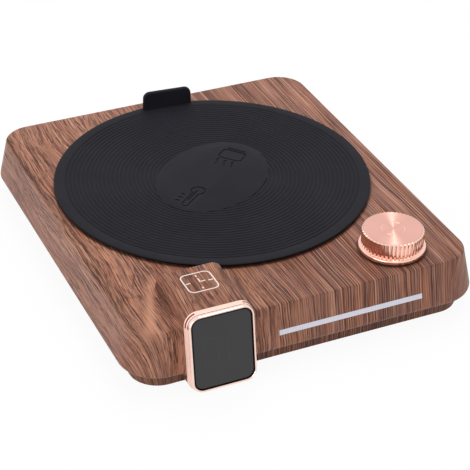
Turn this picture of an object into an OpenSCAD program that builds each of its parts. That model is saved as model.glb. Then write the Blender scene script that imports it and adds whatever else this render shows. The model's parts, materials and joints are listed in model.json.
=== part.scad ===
// Jar warmer: a flared wood-look case on an inset plinth, a ridged silicone mat over a heating plate,
// a push-and-turn knob, a display leaning back on a pod and a light bar in the front wall.
// Millimetres, +Z up, front towards -Y, origin on the table under the middle of the whole part.

/* [Mat] */
// Diameter of the silicone mat
mat_d = 150; // [130:1:170]
// Thickness of the mat at its plain border
mat_t = 2; // [1.6:0.1:3]
// Radius of the plain middle of the mat
mat_middle_r = 25; // [20:0.5:45]
// Width of the plain border of the mat
mat_border = 5; // [3:0.5:10]
// Distance from one ridge of the mat to the next
ridge_pitch = 2; // [1.6:0.1:4]
// Height of the ridges
ridge_h = 0.4; // [0.2:0.1:0.8]
// Width of the pull tab
tab_w = 25.6; // [18:0.1:40]
// Height of the pull tab above the mat
tab_h = 8.9; // [6:0.1:16]
// Thickness of the pull tab
tab_t = 2.2; // [1.4:0.1:4]
// Rounding of the pull tab's upper corners
tab_corner_r = 3.2; // [1:0.1:6]
// Turn of the mat on its plate, which sets where the tab stands
mat_turn = -5; // [-30:1:30]

/* [Case] */
// Wood-look top left at each side of the mat
side_margin = 6; // [5:0.5:20]
// Wood-look top left behind the mat
rear_margin = 8.7; // [8:0.1:30]
// Depth of the strip in front of the mat
front_strip = 29.9; // [28:0.1:50]
// Sideways place of the mat on the case
mat_shift = -1.4; // [-3:0.1:3]
// Height of the top face above the table
case_top_z = 28.9; // [27:0.1:36]
// Corner radius of the top face
case_corner_r = 14; // [10:0.5:18]
// How far each wall leans out on its way down
case_flare = 3.8; // [1:0.1:5]
// Rounding of the top edge
top_edge_r = 1.2; // [1:0.1:4]
// Rounding under the widest line of the walls
under_edge_r = 3; // [1.5:0.1:3.4]
// Height of the case's lower rim above the table
rim_z = 7.4; // [6.4:0.1:9]
// Thickness of the case's walls
shell_wall = 2.4; // [1.8:0.1:3]
// Rise of the pod's rear edge above the top face
pod_rise = 8.1; // [6:0.1:8.4]
// Corner radius of the pod's rear edge
pod_corner_r = 3.2; // [3.1:0.1:6]
// Space between the mat and the nearest corner of the pod
pod_mat_gap = 4.8; // [0.5:0.1:6]

/* [Bottom cover] */
// How far the plinth stands inside the widest line of the case
plinth_inset = 5.6; // [5.5:0.1:9]
// Corner radius of the plinth
plinth_corner_r = 13; // [8:0.5:18]
// Thickness of the plinth's walls
cover_wall = 2.2; // [1.6:0.1:3]
// Thickness of the plinth's floor
cover_floor = 2.2; // [1.8:0.1:2.6]
// Thickness of the flange that fills the case's rim
flange_t = 2; // [1.4:0.1:2.4]
// Diameter of the rubber feet
foot_d = 14; // [8:0.5:18]
// How far the feet stand out below the plinth
foot_proud = 0.5; // [0.5:0.1:1.5]
// How far the feet sink into the plinth
foot_sink = 1.2; // [0.6:0.1:1.4]
// Distance of the feet from the plinth's sides
foot_inset = 22; // [20:0.5:30]
// Distance of the cover screws from the sides of the top face
screw_inset = 13; // [12:0.5:16]
// Radius of the screw pillars and of the bosses above them
pillar_r = 3.8; // [3.6:0.1:4.5]
// Length of an air slot in the floor
vent_l = 16; // [8:1:24]
// Width of an air slot in the floor
vent_w = 2; // [1:0.1:3]
// Distance from one air slot to the next
vent_pitch = 7; // [5:0.5:10]
// Number of air slots in a row
vent_count = 6; // [2:1:8]

/* [Heater] */
// How far the mat reaches past the heating plate
mat_overlap = 2; // [1:0.1:4]
// Thickness of the heating plate's rim
plate_rim_t = 1.8; // [1.2:0.1:2.4]
// Thickness of the heating plate's body below its rim
plate_body_t = 2.6; // [1.6:0.1:3.2]
// Width of the ledge that carries the plate
ledge_w = 7; // [4:0.5:10]
// Thickness of that ledge
ledge_t = 3; // [2:0.1:3.6]
// Thickness of the gasket on the ledge
gasket_t = 0.4; // [0.3:0.1:0.8]
// Wall round the plate's recess
recess_wall = 3.4; // [2:0.1:4.5]
// Thickness of the foil heater
heater_t = 0.6; // [0.4:0.1:1]
// How far the foil heater stays inside the plate's body
heater_inset = 6; // [3:0.5:10]
// Thickness of the insulation
insulation_t = 4; // [3:0.5:5]
// Thickness of the clamp bracket
bracket_t = 1.2; // [0.8:0.1:2]
// Width of the clamp bracket's arms
bracket_w = 14; // [10:0.5:20]
// Radius of the clamp bracket's middle
bracket_hub_r = 16; // [12:0.5:24]
// Radius of the thermistor's stem
thermistor_r = 3; // [2:0.1:4]
// Length of the thermal fuse
fuse_l = 11; // [8:0.5:16]
// Radius of the thermal fuse
fuse_r = 1.9; // [1.4:0.1:2.4]
// Distance of the thermal fuse from the middle of the bracket
fuse_out = 35; // [25:1:50]

/* [Knob] */
// Distance of the knob's axis from the right side of the top face
knob_side = 32; // [28:0.5:50]
// Distance of the knob's axis from the front of the top face
knob_front = 19.8; // [19:0.1:30]
// Diameter of the knob over its flutes
knob_d = 28; // [24:0.5:32]
// Diameter of the knob's skirt
skirt_d = 30.5; // [29:0.5:36]
// Thickness of the skirt
skirt_t = 1.6; // [1:0.1:2.4]
// Height of the knob's top above the case
knob_h = 10; // [9.6:0.1:14]
// Space under the skirt
knob_gap = 1; // [0.9:0.1:2]
// How far the knob presses down
press_travel = 0.5; // [0.3:0.1:0.5]
// Number of flutes round the knob
flute_count = 36; // [24:1:48]
// Radius of a flute
flute_r = 0.6; // [0.4:0.05:0.8]
// Height of the plain foot below the flutes
flute_foot = 0.4; // [0.2:0.1:1]
// Thickness of the knob's top
knob_top_t = 1.6; // [1:0.1:2]
// Wall of the knob
knob_wall = 2.6; // [2:0.1:3.4]
// Width of the encoder's body
encoder_w = 13; // [12:0.1:15]
// Height of the encoder's body
encoder_h = 6.5; // [6:0.1:7.5]
// Radius of the encoder's bushing
bushing_r = 3.5; // [3.4:0.05:4]
// Height of the bushing above the encoder's body
bushing_h = 6; // [5.4:0.1:6.2]
// Radius of the encoder's shaft
shaft_r = 3; // [2.5:0.05:3]
// Width across the flats of the encoder's nut
nut_flats = 10; // [9:0.1:11]
// Thickness of the encoder's nut
nut_t = 2; // [1.4:0.1:2.2]
// Thickness of the washer under that nut
washer_t = 0.4; // [0.3:0.1:0.8]

/* [Display] */
// Sideways place of the display
display_x = -45.5; // [-50:0.5:-40]
// Width of the display's bezel
display_w = 30.5; // [28:0.5:34]
// Height of the display's bezel, along its slope
display_h = 36.8; // [34:0.2:40]
// Corner radius of the bezel
display_corner_r = 5.6; // [4.6:0.1:7]
// How far the display leans back, in degrees
display_tilt = 8.6; // [4:0.1:12]
// Height of the bezel's lowest edge above the table
display_low_z = 1; // [0.8:0.1:2]
// How far the bezel's lower edge stands in front of the case
display_proud = 7.5; // [5.2:0.1:8]
// Depth of the bezel
bezel_depth = 4.4; // [3.6:0.1:5]
// Width of the bezel's front lip
bezel_lip = 1.6; // [1:0.1:2]
// Depth of the ledge that carries the lens
lens_seat = 1.4; // [1:0.1:2]
// Width of that ledge
lens_ledge = 1.6; // [1:0.1:2]
// How far the lens lies below the bezel's front
lens_sink = 1.3; // [0.1:0.1:1.6]
// Thickness of the pod's wall behind the bezel
face_wall = 2.4; // [2:0.1:3]
// Width of the window in that wall
window_w = 20; // [16:0.5:20]
// Height of the window in that wall
window_h = 24; // [18:0.5:24]
// Thickness of the display board
display_board_t = 1.2; // [0.8:0.1:1.4]

/* [Touch key] */
// Sideways place of the key from the middle of the display
key_side = 0.4; // [-3:0.1:3]
// Distance of the key from the pod's rear edge
key_back = 12.6; // [10:0.1:14]
// Radius of the touch pad
pad_r = 5.5; // [4:0.1:7]
// Thickness of the touch pad
pad_t = 0.3; // [0.2:0.1:0.6]
// Radius of the touch spring's coil
spring_r = 2.6; // [2:0.1:3.4]
// Radius of the spring's wire
spring_wire_r = 0.35; // [0.25:0.05:0.4]
// Number of turns of the spring
spring_turns = 6; // [4:1:6]

/* [Light bar] */
// Sideways place of the bar's middle
bar_x = 18.1; // [10:0.1:20]
// Height of the bar's middle above the table
bar_z = 16; // [15:0.1:18]
// Length of the bar
bar_l = 70; // [50:1:72]
// Height of the bar
bar_h = 2.6; // [2:0.1:4]
// Width of the flange behind the bar
bar_flange = 2; // [1.5:0.1:2.5]
// Thickness of that flange
bar_flange_t = 1.2; // [0.8:0.1:1.6]
// Thickness of an LED
led_t = 1; // [0.8:0.1:1.4]
// Number of LEDs behind the bar
led_count = 7; // [4:1:9]
// Height of the board that carries the LEDs
light_board_h = 8; // [7:0.5:9]
// Thickness of that board
light_board_t = 1.2; // [0.8:0.1:1.6]

/* [Boards] */
// Width of the control board
board_w = 90; // [84:1:110]
// Depth of the control board
board_d = 56; // [52:1:66]
// Thickness of the control board and of the front board
board_t = 1.6; // [1.2:0.1:2]
// Height of the posts under the control board
post_h = 3; // [2.4:0.1:4]
// Radius of those posts
post_r = 3; // [2.6:0.1:4]
// Distance of the control board's middle behind the middle of the case
board_back = 20; // [14:1:26]
// Distance of the board screws from the board's sides
board_screw_inset = 4; // [3.6:0.1:6]

/* [Power inlet] */
// Sideways place of the inlet
inlet_x = 45; // [35:1:50]
// Height of the inlet's axis above the table
inlet_z = 17; // [16:0.1:17]
// Radius of the inlet's flange
inlet_flange_r = 6.4; // [6:0.1:6.6]
// Thickness of the inlet's flange
inlet_flange_t = 1.4; // [1:0.1:1.6]
// Radius of the inlet's barrel
inlet_r = 4; // [3.6:0.1:4.2]
// Length of the barrel behind its flange
inlet_l = 13; // [12:0.5:16]
// Radius of the socket
socket_r = 2.85; // [2.7:0.05:3]
// Depth of the socket
socket_depth = 9.5; // [8:0.5:10]
// Radius of the inlet's middle pin
pin_r = 1; // [0.8:0.05:1.1]
// Thickness of the inlet's nut
inlet_nut_t = 2.4; // [2:0.1:3]
// Width across the flats of the inlet's nut
inlet_nut_flats = 11; // [10:0.1:12]

/* [Fasteners and fits] */
// Radius of the case screws
screw_r = 1.45; // [1.2:0.05:1.5]
// Radius of the case screws' heads
screw_head_r = 2.8; // [2.4:0.1:2.8]
// Height of the case screws' heads
screw_head_h = 2; // [1.4:0.1:2]
// Radius of the board screws
board_screw_r = 1.2; // [1:0.05:1.3]
// Radius of the small screws at the display and the light bar
small_screw_r = 0.75; // [0.6:0.05:0.8]
// Clearance of pieces that drop into a recess
drop_gap = 0.3; // [0.2:0.05:0.4]
// Clearance of close fits, all round
close_gap = 0.1; // [0.05:0.01:0.15]
// Clearance of screws in their holes, and of the shaft in its bushing
thread_gap = 0.05; // [0.03:0.01:0.08]
// Radius of the supply wires
wire_r = 0.9; // [0.6:0.05:1.2]
// Straight run of a lead at its plug
lead_run = 8; // [5:0.5:12]
// Distance of a supply lead from the middle of its pair
lead_apart = 2.6; // [1.5:0.1:3.5]
// Drop of a lead next to its end
lead_drop = 1; // [0.5:0.1:1.5]
// Thickness of the flat ribbons
ribbon_t = 0.4; // [0.3:0.05:0.6]

/* [Hidden] */
$fn = 64;

// Mat, plate and case outline
mat_r = mat_d / 2;
case_w = mat_d + 2 * side_margin;
case_d = rear_margin + mat_d + front_strip;
case_y = display_proud / 2;
front_y = case_y - case_d / 2;
rear_y = case_y + case_d / 2;
plate_x = mat_shift;
plate_y = rear_y - rear_margin - mat_r;
plate_r = mat_r - mat_overlap;

// Heights of the case
waist_z = rim_z + under_edge_r;
shoulder_z = case_top_z - top_edge_r;
ceiling_z = case_top_z - shell_wall;
lean = atan(case_flare / (shoulder_z - waist_z));

// Heights of the bottom cover
floor_z = foot_proud + cover_floor;
flange_z = rim_z + drop_gap;
boss_z = flange_z + flange_t;
pillar_land = 4;
screw_seat_z = boss_z - pillar_land;
screw_bite = 7;

// Heights of the heater stack
ledge_z = case_top_z - plate_rim_t - gasket_t;
ring_z = ledge_z - ledge_t;
ring_r = plate_r + drop_gap + recess_wall;
plate_body_r = plate_r - ledge_w - drop_gap;
heater_z = case_top_z - plate_rim_t - plate_body_t - heater_t;
insulation_z = heater_z - insulation_t;
bracket_z = insulation_z - bracket_t;
heater_r = plate_body_r - heater_inset;
insulation_r = heater_r + 2;
bracket_screw_r = plate_r + drop_gap + recess_wall - pillar_r - 0.5;
bracket_bite = ring_z - insulation_z;
lead_side = 3;
lead_front = insulation_r - 8;

// Knob and encoder
knob_x = case_w / 2 - knob_side;
knob_y = front_y + knob_front;
skirt_z = case_top_z + knob_gap;
knob_top_z = case_top_z + knob_h;
encoder_z = ceiling_z - encoder_h;
bushing_z = ceiling_z + bushing_h;
dome_t = 0.3;
encoder_floor = 0.8;
plunger_r = 4.2;
plunger_t = 1;
plunger_room = 0.4;
plunger_z = encoder_z + encoder_floor + dome_t + press_travel + close_gap;
foot_z = plunger_z + plunger_t + thread_gap;
shaft_foot_t = 1.4;
encoder_roof_z = foot_z + shaft_foot_t + plunger_room;
hub_r = shaft_r + 1.8;
hub_z = bushing_z + press_travel + drop_gap;
hub_top_z = knob_top_z - knob_top_t;
shaft_top_z = hub_top_z - close_gap;
shaft_flat = shaft_r / 2;

// Display and pod
sin_tilt = sin(display_tilt);
cos_tilt = cos(display_tilt);
display_y = front_y - case_flare - display_proud + display_h / 2 * sin_tilt + bezel_depth * cos_tilt;
display_z = display_low_z + display_h / 2 * cos_tilt;
pod_depth = 6;
pod_side_x = display_x + display_w / 2 - plate_x;
pod_rear_y = plate_y - sqrt(mat_r * mat_r - pod_side_x * pod_side_x) - pod_mat_gap;
plinth_front_y = front_y - case_flare + plinth_inset;
peg_r = 0.7;
peg_l = 1.6;
peg_x = display_w / 2 - bezel_lip;
peg_y = display_h / 4;
display_screw_x = window_w / 2 - 2;
display_screw_y = window_h / 2 + 2;

// The pod's inner roof runs from its rear wall to the display
roof_front = on_display([0, display_h / 2 - shell_wall, -face_wall]);
roof_rear_y = pod_rear_y - shell_wall;
roof_rear_z = case_top_z + pod_rise - shell_wall;
roof_slope = atan((roof_front.z - roof_rear_z) / (roof_rear_y - roof_front.y));
key_x = display_x + key_side;
key_y = pod_rear_y - key_back;
key_z = roof_rear_z + (roof_rear_y - key_y) * tan(roof_slope);
pad_under_z = key_z - (pad_t + thread_gap) / cos(roof_slope);
spring_l = pad_under_z - encoder_z - (spring_r + spring_wire_r) * tan(roof_slope) - close_gap;

// Light bar, on the leaning front wall
wall_n = shell_wall * cos(lean);
bar_y = front_y - wall_out(bar_z);
light_screw_x = bar_l / 2 + bar_flange + 3;
light_boss_r = 2.2;
light_board_l = 2 * (light_screw_x + 3);
led_z = -wall_n - bar_flange_t - led_t;

// Front board, which the encoder and two bosses carry
front_board_x0 = key_x - 10;
front_board_x1 = knob_x + encoder_w / 2 + 4;
front_board_y0 = knob_y - encoder_w / 2 - 3;
front_board_y1 = knob_y + encoder_w / 2 + 5;
front_board_z = encoder_z - board_t;
front_boss_x = [for (part = [0.34, 0.68]) front_board_x0 + part * (front_board_x1 - front_board_x0)];
front_boss_r = 3;
front_boss_bite = 5;

// Control board
board_x = plate_x;
board_y = case_y + board_back;
board_z = floor_z + post_h;
board_top_z = board_z + board_t;
plug_d = 6;
plug_h = 6;
heater_plug_y = board_y - board_d / 2 + plug_d / 2 + 1;
inlet_plug_y = board_y + board_d / 2 - plug_d / 2 - 1;
inlet_plug_x = board_x + board_w / 2 - 14;
ribbon_plug_x = board_x + 26;
ribbon_w = 12;

// Power inlet
inlet_seat_y = rear_y - 0.5;
inlet_boss_r = inlet_flange_r + 2.2;
inlet_boss_y = rear_y - 5.5;
inlet_tail_y = inlet_seat_y - inlet_l;

// How far a wall stands outside the top face's outline at height z
function wall_out(z) = case_flare * (shoulder_z - z) / (shoulder_z - waist_z);

// A point given across, along and out from the display's back plane
function on_display(p) = [
    display_x + p.x,
    display_y + p.y * sin_tilt - p.z * cos_tilt,
    display_z + p.y * cos_tilt + p.z * sin_tilt
];

// A point at fraction t between b and c on a smooth curve through a, b, c and d
function smooth_point(a, b, c, d, t) =
    0.5 * (2 * b + (c - a) * t + (2 * a - 5 * b + 4 * c - d) * t * t + (3 * b - a - 3 * c + d) * t * t * t);

// Points of a smooth route through the given points, with the given steps between them
function smooth_route(points, steps) = let (last = len(points) - 1) [
    for (i = [0:last - 1]) for (k = [0:steps - 1])
        smooth_point(points[max(i - 1, 0)], points[i], points[i + 1], points[min(i + 2, last)], k / steps),
    points[last]
];

function unit(v) = v / norm(v);

// Direction of a route at its point i
function heading(route, i) = unit(route[min(i + 1, len(route) - 1)] - route[max(i - 1, 0)]);

// A round tube along a route; side is a direction that the route never follows
module tube(route, radius, side, sides) {
    rings = [for (i = [0:len(route) - 1])
        let (along = heading(route, i), u = unit(cross(along, side)), v = cross(along, u))
        [for (k = [0:sides - 1]) route[i] + radius * (cos(360 * k / sides) * u + sin(360 * k / sides) * v)]];
    count = len(rings);
    walls = [for (i = [0:count - 2]) for (k = [0:sides - 1])
        let (a = i * sides + k, b = i * sides + (k + 1) % sides)
        each [[a, b, b + sides], [a, b + sides, a + sides]]];
    start_cap = [for (k = [1:sides - 2]) [0, k + 1, k]];
    end = (count - 1) * sides;
    end_cap = [for (k = [1:sides - 2]) [end, end + k, end + k + 1]];
    polyhedron(points = [for (ring = rings) each ring], faces = concat(start_cap, walls, end_cap));
}

// A flat strip of the given width across X, along points given as [y, z]
module ribbon(points, width) {
    last = len(points) - 1;
    normals = [for (i = [0:last])
        let (d = points[min(i + 1, last)] - points[max(i - 1, 0)]) [-d.y, d.x] / norm(d)];
    top = [for (i = [0:last]) points[i] + normals[i] * ribbon_t / 2];
    under = [for (i = [last:-1:0]) points[i] - normals[i] * ribbon_t / 2];
    rotate([90, 0, 90]) linear_extrude(width, center = true) polygon(concat(top, under));
}

module rounded_rect(w, h, r) {
    square([w - 2 * r, h], center = true);
    square([w, h - 2 * r], center = true);
    for (sx = [-1, 1], sy = [-1, 1])
        translate([sx * (w / 2 - r), sy * (h / 2 - r)]) circle(r);
}

// A block with a profile of [height, distance outside the top face's outline], from its lowest point up
module flared_block(profile) {
    reach_x = case_w / 2 - case_corner_r;
    reach_y = case_d / 2 - case_corner_r;
    low = profile[0][0];
    high = profile[len(profile) - 1][0];
    corner = concat([[0, low]], [for (p = profile) [case_corner_r + p[1], p[0]]], [[0, high]]);
    translate([0, case_y, 0]) {
        rotate([90, 0, 90]) linear_extrude(2 * reach_x, center = true) flared_section(case_d / 2, profile);
        rotate([90, 0, 0]) linear_extrude(2 * reach_y, center = true) flared_section(case_w / 2, profile);
        for (turn = [0:90:270])
            translate([
                sign(cos(turn + 45)) * reach_x,
                sign(sin(turn + 45)) * reach_y,
                0
            ]) rotate(turn) rotate_extrude(angle = 90) polygon(corner);
    }
}

module flared_section(half_w, profile) {
    right = [for (p = profile) [half_w + p[1], p[0]]];
    left = [for (i = [len(profile) - 1:-1:0]) [-half_w - profile[i][1], profile[i][0]]];
    polygon(concat(right, left));
}

module at_plate() translate([plate_x, plate_y, 0]) children();

module at_knob() translate([knob_x, knob_y, 0]) children();

// Across, along and out from the display's back plane
module at_display() translate([display_x, display_y, display_z]) rotate([90 - display_tilt, 0, 0]) children();

// Across, along and out from the front wall at the light bar
module at_bar() translate([bar_x, bar_y, bar_z]) rotate([90 - lean, 0, 0]) children();

// Along the inlet's axis, outwards through the rear wall from the given place
module at_inlet(y) translate([inlet_x, y, inlet_z]) rotate([-90, 0, 0]) children();

module at_cover_screws() {
    for (sx = [-1, 1], sy = [-1, 1])
        translate([sx * (case_w / 2 - screw_inset), case_y + sy * (case_d / 2 - screw_inset), 0]) children();
}

module at_bracket_screws() {
    at_plate() for (turn = [45:90:315]) rotate(turn) translate([bracket_screw_r, 0, 0]) children();
}

module at_board_screws() {
    for (sx = [-1, 1], sy = [-1, 1])
        translate([
            board_x + sx * (board_w / 2 - board_screw_inset),
            board_y + sy * (board_d / 2 - board_screw_inset),
            0
        ]) children();
}

module at_display_screws() {
    at_display() for (sx = [-1, 1], sy = [-1, 1])
        translate([sx * display_screw_x, sy * display_screw_y, 0]) children();
}

module at_display_pegs() {
    at_display() for (sx = [-1, 1], sy = [-1, 1]) translate([sx * peg_x, sy * peg_y, 0]) children();
}

module at_light_screws() {
    at_bar() for (sx = [-1, 1]) translate([sx * light_screw_x, 0, 0]) children();
}

module at_front_bosses() {
    for (x = front_boss_x) translate([x, knob_y, 0]) children();
}

// A screw standing head down with its seat at height 0
module upright_screw(r, length, head_r, head_h) {
    translate([0, 0, -head_h]) cylinder(r = head_r, h = head_h);
    cylinder(r = r, h = length);
}

module display_outline(inset) {
    rounded_rect(display_w - 2 * inset, display_h - 2 * inset, display_corner_r - inset);
}

// The pod: from the display's outline back to two columns at its rear corners
module pod_block(inset, face) {
    column_z = case_top_z - 6;
    hull() {
        at_display() translate([0, 0, -pod_depth]) linear_extrude(pod_depth - face)
            display_outline(inset, $fn = 32);
        for (side = [-1, 1])
            translate([display_x + side * (display_w / 2 - pod_corner_r), pod_rear_y - pod_corner_r, column_z])
                cylinder(r = pod_corner_r - inset, h = case_top_z + pod_rise - inset - column_z, $fn = 32);
    }
}

module upper_shell() {
    lower_round = [for (a = [0:22.5:90])
        [rim_z + under_edge_r * (1 - cos(a)), case_flare + under_edge_r * (sin(a) - 1)]];
    upper_round = [for (a = [0:15:90]) [shoulder_z + top_edge_r * sin(a), top_edge_r * (cos(a) - 1)]];
    inside = [
        [rim_z - 1, case_flare - shell_wall],
        [waist_z, case_flare - shell_wall],
        [ceiling_z, wall_out(ceiling_z) - shell_wall]
    ];
    color("#96644f") difference() {
        union() {
            difference() {
                union() {
                    flared_block(concat(lower_round, upper_round));
                    pod_block(0, 0);
                }
                flared_block(inside);
                pod_block(shell_wall, face_wall);
                translate([display_x - display_w, display_y - pod_depth, display_low_z - 10])
                    cube([2 * display_w, 4 * pod_depth, 10]);
                // Room for the bottom cover behind the pod
                translate([display_x - display_w / 2 - 1, plinth_front_y - drop_gap, 0])
                    cube([display_w + 2, pod_rear_y - plinth_front_y, boss_z + drop_gap]);
            }
            at_plate() translate([0, 0, ring_z]) cylinder(r = ring_r, h = case_top_z - ring_z - 1);
            at_bracket_screws() translate([0, 0, insulation_z]) cylinder(r = pillar_r, h = bracket_bite + 1);
            at_cover_screws() translate([0, 0, boss_z]) cylinder(r = pillar_r, h = ceiling_z - boss_z + 1);
            at_front_bosses() translate([0, 0, encoder_z]) cylinder(r = front_boss_r, h = encoder_h + 1);
            at_light_screws() translate([0, 0, led_z]) cylinder(r = light_boss_r, h = -wall_n / 2 - led_z);
            // The bottom cover's flange passes under the inlet's boss
            difference() {
                at_inlet(inlet_boss_y) cylinder(r = inlet_boss_r, h = inlet_seat_y - inlet_boss_y + 0.5);
                translate([inlet_x - inlet_boss_r, inlet_boss_y - 1, 0])
                    cube([2 * inlet_boss_r, inlet_l, boss_z + drop_gap]);
            }
        }
        // The plate's recess, its ledge and the opening inside it
        at_plate() translate([0, 0, ledge_z]) cylinder(r = plate_r + drop_gap, h = case_top_z);
        at_plate() cylinder(r = plate_r - ledge_w, h = case_top_z);
        at_bracket_screws() cylinder(r = screw_r + thread_gap, h = ring_z);
        at_cover_screws() cylinder(r = screw_r + thread_gap, h = boss_z + screw_bite + 1);
        at_front_bosses() cylinder(r = board_screw_r + thread_gap, h = encoder_z + front_boss_bite + 0.5);
        at_knob() cylinder(r = bushing_r + close_gap, h = 2 * case_top_z);
        at_bar() translate([0, 0, -2 * shell_wall]) linear_extrude(3 * shell_wall)
            square([bar_l, bar_h], center = true);
        at_light_screws() translate([0, 0, led_z - 1])
            cylinder(r = small_screw_r + thread_gap, h = bar_flange_t + led_t + 1 + wall_n / 3);
        at_display() translate([0, 0, -2 * face_wall]) linear_extrude(3 * face_wall)
            square([window_w, window_h], center = true);
        at_display_pegs() translate([0, 0, -peg_l - close_gap]) cylinder(r = peg_r + thread_gap, h = 2 * peg_l);
        at_display_screws() translate([0, 0, -face_wall - 1])
            cylinder(r = small_screw_r + thread_gap, h = face_wall);
        at_inlet(inlet_boss_y - 1) cylinder(r = inlet_r + close_gap, h = 3 * inlet_l);
        at_inlet(inlet_seat_y) cylinder(r = inlet_flange_r + drop_gap, h = inlet_l);
    }
}

module at_feet() {
    foot_x = case_w / 2 + case_flare - plinth_inset - foot_inset;
    foot_y = case_d / 2 + case_flare - plinth_inset - foot_inset;
    for (sx = [-1, 1], sy = [-1, 1]) translate([sx * foot_x, case_y + sy * foot_y, 0]) children();
}

module plinth_outline(inset) {
    translate([0, case_y])
        rounded_rect(
            case_w + 2 * (case_flare - plinth_inset - inset),
            case_d + 2 * (case_flare - plinth_inset - inset),
            plinth_corner_r - inset
        );
}

module bottom_cover() {
    rim_out = case_flare - shell_wall - drop_gap;
    notch_w = display_w + 2 * drop_gap;
    color("#70443a") difference() {
        union() {
            difference() {
                union() {
                    translate([0, 0, foot_proud]) linear_extrude(boss_z - foot_proud) plinth_outline(0);
                    translate([0, case_y, flange_z]) linear_extrude(flange_t)
                        rounded_rect(case_w + 2 * rim_out, case_d + 2 * rim_out, case_corner_r + rim_out);
                }
                translate([0, 0, floor_z]) linear_extrude(boss_z) plinth_outline(cover_wall);
            }
            at_cover_screws() translate([0, 0, foot_proud]) cylinder(r = pillar_r, h = boss_z - foot_proud);
            at_board_screws() translate([0, 0, foot_proud]) cylinder(r = post_r, h = board_z - foot_proud);
        }
        at_cover_screws() cylinder(r = screw_r + drop_gap, h = 2 * boss_z);
        at_cover_screws() cylinder(r = screw_head_r + drop_gap, h = screw_seat_z);
        at_board_screws() translate([0, 0, board_z - post_h])
            cylinder(r = board_screw_r + thread_gap, h = boss_z);
        at_feet() cylinder(r = foot_d / 2 + close_gap, h = foot_proud + foot_sink);
        // Room for the display board behind the pod
        translate([display_x - notch_w / 2, plinth_front_y - case_d, flange_z - 1])
            cube([notch_w, case_d, flange_t + 2]);
        for (row = [-1, 1], i = [0:vent_count - 1])
            translate([
                plate_x + (i - (vent_count - 1) / 2) * vent_pitch,
                case_y - board_d / 2 + row * vent_l,
                floor_z / 2
            ]) cube([vent_w, vent_l, 2 * floor_z], center = true);
    }
}

module rubber_feet() {
    color("#1c1c1e") at_feet() cylinder(d = foot_d, h = foot_proud + foot_sink);
}

module cover_screws() {
    color("silver") at_cover_screws() translate([0, 0, screw_seat_z])
        upright_screw(screw_r, boss_z - screw_seat_z + screw_bite, screw_head_r, screw_head_h);
}

module heating_plate() {
    color("#c4c6ca") at_plate() {
        translate([0, 0, case_top_z - plate_rim_t]) cylinder(r = plate_r, h = plate_rim_t);
        translate([0, 0, heater_z + heater_t]) cylinder(r = plate_body_r, h = plate_body_t);
    }
}

module plate_gasket() {
    color("#d8d4cc") at_plate() translate([0, 0, ledge_z]) difference() {
        cylinder(r = plate_r, h = gasket_t);
        translate([0, 0, -1]) cylinder(r = plate_r - ledge_w, h = gasket_t + 2);
    }
}

module foil_heater() {
    color("#c4782e") at_plate() translate([0, 0, heater_z]) cylinder(r = heater_r, h = heater_t);
}

module insulation_disc() {
    color("#f0eee6") at_plate() translate([0, 0, insulation_z]) difference() {
        cylinder(r = insulation_r, h = insulation_t);
        translate([0, 0, -1]) cylinder(r = thermistor_r + drop_gap, h = insulation_t + 2);
        for (side = [-1, 1])
            translate([side * lead_side, -lead_front, -1])
                cylinder(r = wire_r + drop_gap, h = insulation_t + 2);
    }
}

module clamp_bracket() {
    arm_l = 2 * (bracket_screw_r + pillar_r);
    color("#b4b8bc") difference() {
        at_plate() translate([0, 0, bracket_z]) {
            cylinder(r = bracket_hub_r, h = bracket_t);
            for (turn = [45, 135])
                rotate(turn) translate([-arm_l / 2, -bracket_w / 2, 0]) cube([arm_l, bracket_w, bracket_t]);
        }
        at_bracket_screws() cylinder(r = screw_r + drop_gap, h = case_top_z);
        at_plate() cylinder(r = thermistor_r + close_gap, h = case_top_z);
    }
}

module bracket_screws() {
    color("silver") at_bracket_screws() translate([0, 0, bracket_z])
        upright_screw(screw_r, bracket_t + bracket_bite - drop_gap, screw_head_r, screw_head_h);
}

module thermistor() {
    flange_r = thermistor_r + 1.5;
    flange_h = 1.2;
    color("#3c3c40") at_plate() {
        translate([0, 0, bracket_z - flange_h]) cylinder(r = flange_r, h = flange_h);
        translate([0, 0, bracket_z]) cylinder(r = thermistor_r, h = heater_z - bracket_z - thread_gap);
    }
}

module thermal_fuse() {
    color("#e6dcc8") at_plate() rotate(45)
        translate([fuse_out, 0, bracket_z - fuse_r - close_gap]) rotate([0, 90, 0])
            cylinder(r = fuse_r, h = fuse_l, center = true);
}

module control_board() {
    color("#2f6b45") difference() {
        translate([board_x - board_w / 2, board_y - board_d / 2, board_z]) cube([board_w, board_d, board_t]);
        at_board_screws() cylinder(r = board_screw_r + drop_gap, h = case_top_z);
    }
}

module board_capacitors() {
    capacitor_r = 4;
    capacitor_h = 7.4;
    color("#26344c") for (i = [0:1])
        translate([board_x - board_w / 4 - i * 2.5 * capacitor_r, board_y + board_d / 4, board_top_z])
            cylinder(r = capacitor_r, h = capacitor_h);
}

module control_chip() {
    chip_w = 10;
    chip_t = 1.4;
    color("#222224") translate([board_x - chip_w / 2, board_y - chip_w / 2, board_top_z])
        cube([chip_w, chip_w, chip_t]);
}

module power_transistor() {
    body_w = 10;
    body_l = 9;
    body_t = 4.4;
    tab_plate_l = 6;
    tab_plate_t = 1.3;
    color("#2a2a2c") translate([board_x + board_w / 4, board_y - body_w / 2, board_top_z]) {
        cube([body_l, body_w, body_t]);
        translate([body_l, 0, 0]) cube([tab_plate_l, body_w, tab_plate_t]);
    }
}

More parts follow.
